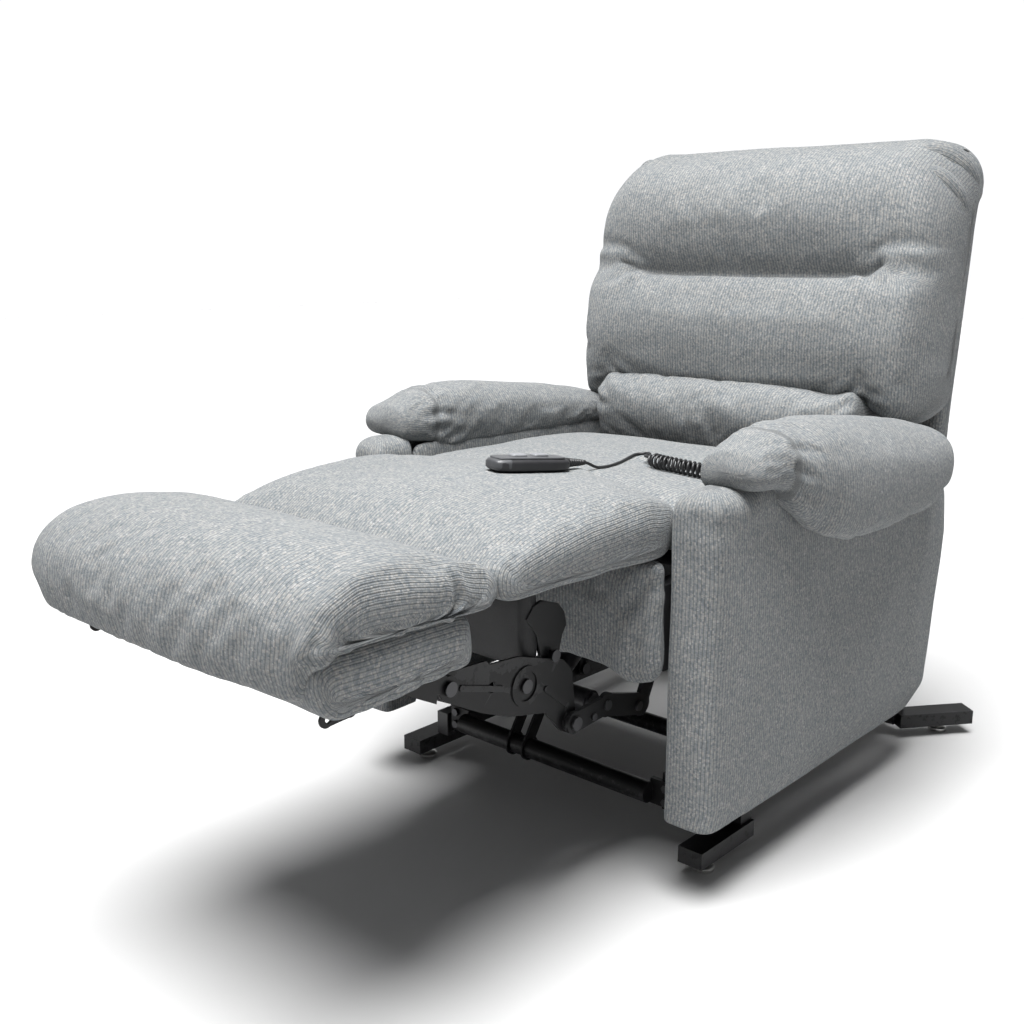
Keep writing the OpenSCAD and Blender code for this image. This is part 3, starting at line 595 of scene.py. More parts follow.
def vinyl(name):
    g = Graph(name)
    p = g.place()
    cells = g.nodes.new("ShaderNodeTexVoronoi")
    cells.feature = "DISTANCE_TO_EDGE"
    cells.inputs["Scale"].default_value = 420
    g.put(cells.inputs["Vector"], p)
    grain = g.math("MINIMUM", g.math("MULTIPLY", cells.outputs["Distance"], 4.0), 1.0)
    cloud = g.noise(p, 30, 3, 0.6)
    colour = g.ramp(cloud, [(0.3, (0.007, 0.007, 0.008)), (0.7, (0.014, 0.014, 0.015))])
    g.rough(cloud, 0.2, 0.36)
    return g.set(Base_Color=colour, Normal=g.bump(grain, 0.35, 0.0004), Specular_IOR_Level=0.28)


def wood(name):
    g = Graph(name)
    p = g.place()
    grain = g.noise(g.vec("MULTIPLY", p, (26, 3.2, 26)), 1.6, 5, 0.65)
    fibre = g.noise(g.vec("MULTIPLY", p, (700, 40, 700)), 1, 2, 0.6)
    colour = g.ramp(
        grain, [(0.25, (0.30, 0.19, 0.10)), (0.5, (0.47, 0.33, 0.19)), (0.75, (0.58, 0.43, 0.27))],
    )
    colour = g.shaded(colour, fibre, 0.35, 0.80)
    g.rough(grain, 0.2, 0.55)
    return g.set(Base_Color=colour, Normal=g.bump(fibre, 0.2, 0.0005))


def floor_paint(name):
    g = Graph(name)
    p = g.place()
    cloud = g.noise(p, 3.0, 3, 0.5)
    colour = g.ramp(cloud, [(0.3, (0.52, 0.52, 0.52)), (0.7, (0.54, 0.54, 0.54))])
    return g.set(Base_Color=colour, Roughness=0.9, Specular_IOR_Level=0.1)


TWEED = tweed("tweed", 0.86)
PAINT = painted_steel("black_steel")
ZINC = bare_steel("zinc", (0.62, 0.62, 0.60), 0.28)
CHROME = bare_steel("chrome", (0.80, 0.80, 0.80), 0.10)
DARK_ZINC = bare_steel("dark_zinc", (0.075, 0.075, 0.078), 0.34)
SPRING = bare_steel("spring_steel", (0.30, 0.30, 0.31), 0.34)
PLASTIC = moulded("black_plastic", (0.021, 0.021, 0.023), 0.30)
GREY = moulded("grey_plastic", (0.17, 0.175, 0.185), 0.38)
GREY_DARK = moulded("dark_grey_plastic", (0.060, 0.062, 0.066), 0.34)
CORD = moulded("cord_rubber", (0.014, 0.014, 0.015), 0.34, 700, 0.15)
VINYL = vinyl("black_vinyl")
WOOD = wood("timber")
DUST = moulded("dust_cloth", (0.022, 0.022, 0.024), 0.7, 900, 0.5)


def fit(obj, body, nodes=()):
    """Rides a piece on its body and hides the CAD nodes that it stands for."""
    if body:
        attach(obj, body)
    if nodes:
        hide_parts(*nodes)
    return obj


# ---------- handset cord ----------


HANDSET_AT = np.array([44, -145, 567.5])
HANDSET_TILT, HANDSET_TURN = math.radians(-5), math.radians(15)


def handset_point(x, y, z):
    """A point given in the handset's own frame, in millimetres."""
    c, s = math.cos(HANDSET_TILT), math.sin(HANDSET_TILT)
    y, z = y * c - z * s, y * s + z * c
    c, s = math.cos(-HANDSET_TURN), math.sin(-HANDSET_TURN)
    return HANDSET_AT + np.array([x * c - y * s, x * s + y * c, z])


LEAD = [handset_point(0, y, 11) for y in (54, 68, 83, 98)] + [
    np.array(p, float)
    for p in (
        (73, -30, 561), (72.5, -15, 558.5), (71, 2, 557.5), (69, 20, 557.5), (66, 38, 558), (62, 56, 559),
        (58, 73, 560.5), (56.5, 88, 562), (60, 98, 563), (68, 102, 564), (77, 98, 565), (84, 88, 566),
        (88, 75, 567),
    )
]
COIL = [
    (88, 75, 567), (93, 64, 567.5), (104, 55, 567.5), (118, 48, 567), (134, 43, 566.5), (151, 41, 566),
    (168, 42, 565), (184, 44, 563.5), (199, 47, 562), (214, 49, 560.5), (230, 50, 558.5),
    (246, 49.5, 554.5), (262, 48, 549.5),
]
TAIL = [(262, 48, 549.5), (266, 47.2, 548.4), (271, 46.4, 547.5), (276, 46, 547.1), (282, 46, 547)]
CORD_R = 2.2
COIL_R = 9.2
TURNS = 14
# how many turns the coil takes to open out at each end, and how much faster it runs on there
OPEN_TURNS = 1.9
OPEN_PITCH = 4.2
STEPS = 24


def coil_path(core, turns):
    """The core's line wound into a coil. Its first and last turns open out gently, so no bend is tight."""
    n = turns * STEPS
    t = np.linspace(0, 1, n)
    grow = smooth(0, OPEN_TURNS / turns, t) * smooth(0, OPEN_TURNS / turns, 1 - t)
    advance = np.cumsum(1 + OPEN_PITCH * (1 - grow))
    advance = (advance - advance[0]) / (advance[-1] - advance[0])
    fine = spline(core, 400, closed=False)
    p = np.stack([np.interp(advance, np.linspace(0, 1, 400), fine[:, k]) for k in range(3)], 1)
    _, a, b = frames_along(p)
    angle = 2 * math.pi * turns * np.cumsum(grow) / grow.sum()
    return p + (COIL_R * grow)[:, None] * (np.cos(angle)[:, None] * a + np.sin(angle)[:, None] * b)


def tube(name, path, radius, material, sides=10, subdivide=0):
    """A tube along a path in millimetres, its radius given at each point or once."""
    p = np.array(path, float)
    _, a, b = frames_along(p)
    r = np.broadcast_to(np.asarray(radius, float), (len(p),))
    turn = np.linspace(0, 2 * math.pi, sides, endpoint=False)
    ring = np.cos(turn)[None, :, None] * a[:, None, :] + np.sin(turn)[None, :, None] * b[:, None, :]
    return skin(name, (p[:, None, :] + r[:, None, None] * ring) * MM, material, False, subdivide)


def make_cord():
    tail = spline(TAIL, 8, closed=False)
    lead = spline(LEAD, 40, closed=False)
    coil = coil_path(COIL, TURNS)
    path = np.vstack([tail[::-1], coil[::-1][1:], lead[::-1][1:]])
    cord = tube("handset_flex", path, CORD_R, CORD, 10)
    fit(cord, "chassis", ["handset_cord", "handset_coil"])


make_cord()


# ---------- upholstery ----------


def soft(name, body, grid, nodes, along_ring=True, fill=0.7, material=None, planar=None, turned=0):
    obj = skin(name, grid, material or TWEED, along_ring, 1, planar, turned)
    fit(obj, body, nodes)
    return obj


def lengthwise(low, high, level, inset):
    """Spine of a pad that is long in its ring's first direction."""

    def spine(_, ring):
        a = np.clip(ring[:, 0], low + inset, high - inset)
        return np.stack([a, np.interp(a, *level)], 1)

    return spine


def both_sides(grid_of, name, body, nodes, **how):
    """A piece for the +X side and its mirror image. The second stands for the nodes too."""
    grid = grid_of(1)
    soft(name + "_left", body, grid, nodes, **how)
    soft(name + "_right", body, mirrored(grid_of(-1)), nodes, **how)


def make_chaise():
    half, rim = 271, 25

    def ring(x):
        c = abs(x) / half
        rear = -10 - 93 * c**1.15
        drop = 7 * c**2.4 + 4 * smooth(20, -170, x)
        dip = 24 - 22 * smooth(0.6, 0.97, c)
        top = lambda y, z: (y, z - drop)
        points = [
            (rear - 4, 494), (rear + 3, 512), (rear + 2, 532 - drop * 0.5), (rear - 5, 546 - drop * 0.8),
            top(rear - 18, 554), top(min(-110, rear - 42), 561), top(-160, 567), top(-205, 570),
            top(-255, 569), top(-305, 565), top(-350, 558), top(-390, 550 - dip * 0.05),
            top(-418, 543 - dip * 0.3), top(-435, 535 - dip * 0.75), (-443.5, 516 - drop * 0.3),
            (-442, 495), (-428, 485), (-340, 483), (-240, 480), (-150, 477), (rear - 22, 480),
        ]
        return spline(points, 150)

    def spine(x, r):
        y = np.clip(r[:, 0], -443 + 34, -60 - 93 * abs(x) / half)
        return np.stack([y, np.interp(y, [-443, -240, -10], [494, 492, 494])], 1)

    grid = across(half, rim, 8, ring, spine, 3.1)
    grid = uneven(grid, 1.6, 170, 3)
    grid = uneven(grid, 0.6, 55, 4)
    pin = 1 - smooth(0.484, 0.502, grid[:, :, 2])
    pin = np.maximum(pin, 1 - smooth(0, 0.022, np.abs(grid[:, :, 1] + 0.443)))
    grid = settle(grid, pin, 1.2, 0.007, 4)
    # long soft drag lines from the pull of the seat seam
    for x0, y0, x1, y1, deep in (
        (70, -60, -40, -190, 2.2), (-60, -70, 40, -230, 1.6), (215, -150, 120, -330, 2.0),
        (-200, -140, -120, -330, 1.8), (240, -250, 205, -410, 1.6), (-235, -250, -205, -400, 1.4),
        (20, -250, 60, -420, 1.2),
    ):
        grid = fold(
            grid, [(x0, y0, 566), ((x0 + x1) / 2 + 8, (y0 + y1) / 2, 571), (x1, y1, 560)], deep, 13, 0.5,
        )
    front = [(x, -440, 532 - 14 * (abs(x) / 271) ** 2) for x in (-262, -180, -90, 0, 90, 180, 262)]
    grid = gathers(grid, front, 1.5, 34, 42, 8)
    # side seam
    seam = [(262, -428, 556), (273, -428, 520), (268, -428, 486)]
    grid = folds(grid, [(seam, 2.4, 3.0, 0.3, 0.1, 0.1)], BOTH)
    grid = bedded(grid, [handset_point(0, y, 0) for y in (-60, -20, 20, 60)], 0.2, 24, 60)
    obj = soft("chaise_pad", None, grid, ["leg_pad_rear", "leg_pad_front"])
    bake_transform(obj)


def make_seat():
    half, rim = 271, 28

    def ring(x):
        c = abs(x) / half
        drop = 13 * c**2.6
        top = lambda y, z: (y, z - drop)
        points = [
            (322, 478), (330, 492), (330, 518), top(320, 538), top(292, 547), top(240, 551),
            top(165, 552.5), top(80, 552), top(0, 552.5), top(-50, 551), top(-85, 543), (-104, 522),
            (-106, 500), (-96, 481), (-60, 475), (60, 474), (200, 474), (290, 475),
        ]
        return spline(points, 130)

    spine = lengthwise(-100, 326, ([-100, 100, 330], [508, 510, 492]), 34)
    grid = across(half, rim, 9, ring, spine, 2.7)
    grid = uneven(grid, 1.6, 150, 11)
    grid = settle(grid, 1 - smooth(0.478, 0.50, grid[:, :, 2]), 1.2, 0.007, 4, 12)
    for x0, y0, x1, y1, deep in (
        (120, -10, 60, 160, 2.4), (-110, 0, -60, 170, 2.0), (215, -30, 190, 130, 2.2),
        (10, 30, 10, 200, 1.5),
    ):
        grid = fold(
            grid, [(x0, y0, 551), ((x0 + x1) / 2 + 6, (y0 + y1) / 2, 549), (x1, y1, 541)], deep, 12, 0.5,
        )
    grid = bedded(grid, LEAD[6:], CORD_R, 6, 34)
    grid = bedded(grid, TAIL, CORD_R, 6, 34)
    grid = bedded(grid, COIL, COIL_R + CORD_R, 10, 34)
    soft("seat_pad", "chassis", grid, ["seat_cushion"], fill=0.75)


def make_foot_pad():
    half, rim = 272, 24

    def pull_at(x):
        return (26 if x > 0 else 13) * (abs(x) / half) ** 2.2

    def ring(x):
        c = abs(x) / half
        drop = 8 * c**2.6
        pull = pull_at(x)
        lip = 1 - smooth(236, 268, abs(x))
        dip = 22 - 20 * smooth(0.6, 0.97, c)
        top = lambda y, z: (y, z - drop)
        front = lambda y, z: (y + pull * (1 - smooth(-690, -560, y)), z - drop * 0.5)
        points = [
            (-444.5, 500), (-455, 489), (-520, 487), (-620, 487), (-690, 486), (-704, 484 - 10 * lip),
            (-708 + pull * 0.2, 482 - 30 * lip), front(-716, 481 - 40 * lip), front(-727, 483 - 38 * lip),
            front(-735, 488 - 24 * lip), front(-738, 494 - 4 * lip), front(-733, 516), front(-717, 540),
            front(-690, 557), top(-652, 567), top(-605, 570), top(-555, 565), top(-515, 556),
            top(-485, 547 - dip * 0.15), top(-464, 541 - dip * 0.55), (-450, 527 - drop * 0.6), (-444, 513),
        ]
        return spline(points, 130)

    def spine(x, r):
        y = np.clip(r[:, 0], -694 + 20 * (abs(x) / half) ** 2, -444 - 32)
        return np.stack([y, np.full(len(y), 494.0)], 1)

    grid = across(half, rim, 8, ring, spine, 3.2)
    grid = uneven(grid, 1.4, 180, 21)
    grid = uneven(grid, 0.7, 50, 22)
    pin = 1 - smooth(0.487, 0.50, grid[:, :, 2]) * smooth(0.0, 0.03, np.abs(grid[:, :, 1] + 0.444))
    pin = np.where((grid[:, :, 1] < -0.712) & (grid[:, :, 2] > 0.447), 0, pin)
    grid = settle(grid, pin, 1.5, 0.007, 5)
    # short puckers where the front is pulled under the board
    for x, deep, high in (
        (-196, 4.5, 512), (-150, 1.6, 478), (-104, 2.2, 484), (-52, 5.0, 508), (2, 1.8, 480),
        (58, 2.6, 490), (116, 1.8, 482), (172, 2.4, 492), (226, 3.0, 490),
    ):
        pull = pull_at(x)
        grid = fold(
            grid,
            [
                (x + 4, -724 + pull, 441), (x + 1, -737 + pull, 468), (x - 3, -735 + pull, high),
                (x - 6, -722 + pull, high + 26),
            ],
            deep, 4.6, 0.5, 0.02, 0.6,
        )
    rear = [(x, -448, 538 - 12 * (abs(x) / 271) ** 2) for x in (-262, -180, -90, 0, 90, 180, 262)]
    grid = gathers(grid, rear, 1.7, 30, 40, 23)
    # pleats at the ends of the pad
    creases = [
        ([(271, -512, 488), (274, -516, 512), (266, -524, 536), (250, -532, 552)], 8, 5, 0.6, 0.02, 0.7),
        ([(271, -580, 488), (274, -586, 504), (270, -598, 524)], 3, 6, 0.5, 0.02, 0.7),
        ([(262, -706, 486), (266, -702, 504), (258, -694, 528)], 9, 5, 0.6, 0.02, 0.7),
        ([(270, -676, 486), (272, -672, 502), (264, -664, 524)], 4, 5, 0.5, 0.02, 0.7),
        ([(268, -459, 546), (274, -459, 520), (268, -457, 490)], 2.4, 3.0, 0.3, 0.05, 0.05),
    ]
    grid = folds(grid, creases, BOTH)
    soft("foot_cushion", "leg_rest", grid, ["foot_pad"])


def make_board():
    half, rim = 270, 15
    outline = [
        (-484, 440), (-485, 470), (-489, 482), (-500, 486), (-560, 487), (-640, 487), (-690, 486),
        (-701, 478), (-703, 464), (-699, 444), (-690, 428), (-676, 418.5), (-655, 417), (-600, 419),
        (-540, 423), (-502, 427), (-489, 430),
    ]
    base = spline(outline, 110)
    spine = lengthwise(-703, -485, ([-703, -600, -485], [436, 432, 440]), 24)
    grid = across(half, rim, 18, lambda _: base, spine, 2.6)
    grid = uneven(grid, 0.9, 90, 31)
    creases = [
        ([(264, y, 420), (271, y + 3, 436), (271, y + 8, 452)], 1.6, 7, 0.4, 0.05, 0.7)
        for y in (-520, -560, -612, -655)
    ]
    grid = folds(grid, creases, BOTH)
    soft("ottoman_board_cover", "leg_rest", grid, ["ottoman_board"], fill=0.9)


def make_front_rail():
    half, rim = 275, 16

    def ring(x):
        a = abs(x)
        sag = 9 * np.exp(-(((a - 236) / 26) ** 2)) + 2 * math.sin(x / 31)
        back = 14 * smooth(225, 272, a)
        points = [
            (-132, 336), (-138, 322 - sag * 0.6), (-151 + back * 0.6, 316 - sag),
            (-162 + back, 324 - sag * 0.6), (-168 + back, 346), (-171 + back, 384), (-170 + back, 424),
            (-165 + back * 0.8, 452), (-157, 470), (-143, 476), (-131, 470), (-130, 420), (-130, 376),
        ]
        return spline(points, 84)

    def spine(_, r):
        z = np.clip(r[:, 1], 338, 458)
        return np.stack([np.full(len(z), -142.0), z], 1)

    grid = across(half, rim, 9, ring, spine, 2.2)
    grid = uneven(grid, 2.4, 120, 41)
    grid = uneven(grid, 0.8, 45, 42)
    creases = [
        ([(150, -170, 462), (176, -176, 430), (226, -170, 418)], 5, 12, 0.5, 0.1, 0.6),
        ([(268, -150, 452), (244, -168, 420), (206, -176, 392)], 4, 11, 0.5, 0.1, 0.6),
        ([(240, -150, 318), (244, -166, 352), (250, -160, 398)], 4.5, 9, 0.5, 0.02, 0.6),
        ([(196, -150, 320), (192, -172, 350), (196, -176, 392)], 3, 11, 0.5, 0.02, 0.6),
    ]
    grid = folds(grid, creases, BOTH)
    for x in (-120, -60, 0, 66, 124):
        grid = fold(grid, [(x, -150, 318), (x + 5, -172, 344), (x + 2, -176, 380)], 2.6, 10, 0.5, 0.02, 0.7)
    soft("front_rail_cover", "chassis", grid, ["seat_front_rail"])


def make_wall(side):
    """One side of the chair: its front post and its outer panel, sewn as one."""

    def rear_edge(z):
        return np.interp(
            z, [108, 116, 140, 300, 407, 470, 507, 560, 575], [478, 500, 553, 574, 588, 580, 553, 505, 490],
        )

    def ring(z):
        yr = rear_edge(z)
        out = 354.5 + 1.6 * math.sin(math.pi * min(1, max(0, (z - 108) / 440)))
        front = 1.5 * math.sin((z - 108) / 440 * math.pi)
        flare = 5 * smooth(500, 556, z)
        points = [
            (278.5, -124), (280, -132 - front), (286, -136 - front), (300, -137.5 - front),
            (320, -137.5 - front), (338, -136 - front), (347, -131), (352, -122), (354 + flare * 0.5, -106),
            (out + flare, -60), (out + flare * 0.6, 0), (out, 120), (out, 260), (out, 400),
            (out - 1, yr - 40), (out - 4, yr - 12), (out - 12, yr - 1), (332, yr - 2), (323, yr - 12),
            (320, yr - 34), (319.5, 300), (319.5, 100), (319.5, -30), (317, -50), (306, -59), (290, -60),
            (281, -66), (278.5, -84),
        ]
        return spline(points, 190)

    def spine(z, r):
        post = smooth(-40, -58, r[:, 1])
        x = 337 + (316 - 337) * post
        y = np.clip(r[:, 1], -98, rear_edge(z) - 18)
        return np.stack([x, y], 1)

    turn = np.linspace(0, math.pi / 2, 9)[:-1]
    top, low = 574, 108
    zs = np.concatenate(
        [
            low + 6 * (1 - np.cos(turn[::2])), [low + 6, low + 9, low + 14],
            np.linspace(low + 22, top - 38, 44), top - 38 + 38 * np.sin(turn)[1:], [top],
        ]
    )
    near_top = np.clip((zs - (top - 38)) / 38, 0, 1)
    near_low = np.clip((low + 6 - zs) / 6, 0, 1)
    squeeze = np.maximum(
        (1 - near_top**2.5) ** (1 / 2.5), 0.05,
    ) * np.maximum((1 - near_low**3) ** (1 / 3), 0.05)
    grid = sweep("Z", zs, ring, spine, squeeze)
    grid = uneven(grid, 1.1, 210, 50 + side)
    grid = uneven(grid, 0.35, 60, 52 + side)
    # slight vertical pulls, and the seam at the bottom edge
    for y, deep in ((30, 0.9), (150, 0.7), (300, 0.9), (430, 1.3), (520, 2.0)):
        grid = fold(grid, [(357, y, 130), (357, y + 8, 300), (357, y + 2, 450)], deep, 22, 0.5, 0.3, 0.3)
    grid = fold(
        grid, [(300, -139, 548), (326, -137, 536), (345, -124, 528), (357, -96, 536)], 1.8, 12, 0.4, 0.3,
        0.3,
    )
    return grid


# the pillow's front rings, whose weave runs the other way
PILLOW_BAND = 20


def make_pillow(side):
    """Arm pillow: a gathered front band, then a full roll that hangs over the outside of the arm."""
    keys = [-88, -76, -30, -18, -10, 8, 40, 90, 140, 260, 384, 458, 506]
    inner = [288, 284, 279, 277, 276, 274, 272.5, 272.5, 273, 273, 273, 275, 282]
    outer = [374, 380, 386, 388, 391, 399, 409, 415, 416, 414, 411, 404, 392]
    top = [608, 619, 635, 639, 641, 646, 647, 646, 641, 628, 610, 597, 586]
    lobe = [576, 573, 568, 564, 555, 530, 502, 484, 472, 465, 470, 494, 518]
    base = [574, 570, 562, 558, 554, 550, 548, 548, 548, 548, 548, 548, 552]

    def ring(y):
        xi, xo, zt, zl, zi = (np.interp(y, keys, k) for k in (inner, outer, top, lobe, base))
        w, h1, h2 = xo - xi, zt - zi, zt - zl
        points = [
            (xi + 0.07 * w, zi), (xi + 0.012 * w, zi + 0.15 * h1), (xi, zi + 0.42 * h1),
            (xi + 0.035 * w, zi + 0.68 * h1), (xi + 0.13 * w, zt - 0.13 * h1),
            (xi + 0.30 * w, zt - 0.02 * h1), (xi + 0.50 * w, zt), (xi + 0.70 * w, zt - 0.035 * h2),
            (xi + 0.86 * w, zt - 0.13 * h2), (xi + 0.96 * w, zt - 0.31 * h2), (xo, zt - 0.53 * h2),
            (xo - 0.015 * w, zt - 0.74 * h2), (xo - 0.07 * w, zt - 0.90 * h2),
            (xo - 0.17 * w, zl + 0.01 * h2), (xo - 0.28 * w, zl + 0.10 * (zi - zl)),
            (xo - 0.37 * w, zl + 0.38 * (zi - zl)), (xo - 0.45 * w, zl + 0.75 * (zi - zl)),
            (xi + 0.38 * w, zi - 3), (xi + 0.2 * w, zi - 4),
        ]
        return spline(points, 120)

    def spine(y, r):
        zt, zl = np.interp(y, keys, top), np.interp(y, keys, lobe)
        z = np.clip(r[:, 1], zl + 46, zt - 46) if zt - zl > 96 else np.full(len(r), (zt + zl) / 2)
        return np.stack([np.clip(r[:, 0], 330, 358), z], 1)

    low, high = -88, 506
    turn = np.linspace(0, math.pi / 2, 9)[:-1]
    ys = np.concatenate(
        [
            low + 17 * (1 - np.cos(turn)), np.linspace(low + 17, -24, 7), np.linspace(-21, 4, 9),
            np.linspace(10, high - 50, 52), (high - 50 * (1 - np.cos(turn)))[::-1],
        ]
    )
    t0 = np.clip((low + 17 - ys) / 17, 0, 1)
    t1 = np.clip((ys - (high - 50)) / 50, 0, 1)
    squeeze = np.maximum((1 - t0**2.4) ** (1 / 2.4), 0.04) * np.maximum((1 - t1**2.1) ** (1 / 2.1), 0.04)
    grid = sweep("Y", ys, ring, spine, squeeze)
    grid = uneven(grid, 1.5, 170, 60 + side)
    grid = uneven(grid, 0.7, 48, 62 + side)
    pin = np.where(
        (np.abs(grid[:, :, 1] + 0.012) < 0.006) | (grid[:, :, 2] < 0.552) & (grid[:, :, 0] < 0.372), 1.0,
        0.0,
    )
    pin = np.maximum(pin, np.where(grid[:, :, 1] < -0.08, 0.6, 0))
    grid = settle(grid, pin, 1.5, 0.008, 3.5)
    # the band seam, deepest at the bottom on both sides
    band = np.exp(-(((grid[:, :, 1] + 0.012) / 0.0055) ** 2))
    deep = 0.7 + 5.0 * smooth(0.632, 0.585, grid[:, :, 2])
    grid = grid - outward(grid) * (band * deep * MM)[:, :, None]
    for x, z, x2, z2, y2, k in (
        (388, 592, 406, 566, 46, 3), (384, 622, 404, 608, 60, 2), (304, 643, 294, 638, 60, 2),
        (279, 606, 275, 598, 56, 3), (278, 578, 274, 580, 40, 3.5), (390, 574, 404, 540, 36, 3.5),
    ):
        grid = fold(
            grid, [(x, -12, z), ((x + x2) / 2, (y2 - 12) / 2, (z + z2) / 2), (x2, y2, z2)], k, 6.5, 0.6,
            0.0, 0.75,
        )
    for x, z, k in ((384, 600, 1.2), (318, 646, 1.0), (284, 600, 1.3)):
        grid = fold(grid, [(x, -12, z), (x - 1, -40, z), (x - 3, -70, z - 3)], k, 6, 0.6, 0.0, 0.75)
    creases = [
        ([(372, 20, 512), (396, 40, 508), (410, 60, 540), (413, 76, 588)], 5, 13, 0.5, 0.05, 0.5),
        ([(376, 150, 478), (400, 156, 484), (412, 164, 520)], 2.6, 12, 0.5, 0.05, 0.6),
        ([(376, 330, 470), (400, 325, 480), (412, 316, 515)], 2.8, 13, 0.5, 0.05, 0.6),
        ([(376, 450, 488), (398, 442, 496), (409, 425, 528)], 3.2, 12, 0.5, 0.05, 0.6),
        ([(277, 10, 556), (273, 30, 566), (273, 64, 572)], 5, 7, 0.6, 0.1, 0.5),
    ]
    grid = folds(grid, creases)
    return grid


def make_inner_panel(_):
    outline = [
        (-56, 304), (-58, 330), (-58, 440), (-58, 540), (-54, 553), (-40, 556), (200, 556), (470, 556),
        (490, 553), (498, 540), (499, 440), (490, 340), (482, 306), (470, 301), (200, 300), (-40, 300),
    ]
    base = spline(outline, 120)

    def spine(_, r):
        return np.stack([np.clip(r[:, 0], -30, 470), np.clip(r[:, 1], 328, 528)], 1)

    xs = stations(297, 8, 4, low=279)
    grid = sweep("X", xs, lambda _: base, spine, rim_scale(xs, 279, 297, 8, 2.4, 0.1))
    return uneven(grid, 0.5, 120, 70)


SEAM_1 = [
    (-338, 850), (-262, 848), (-226, 838), (-120, 834), (0, 834), (120, 834), (236, 836), (260, 848),
    (338, 850),
]


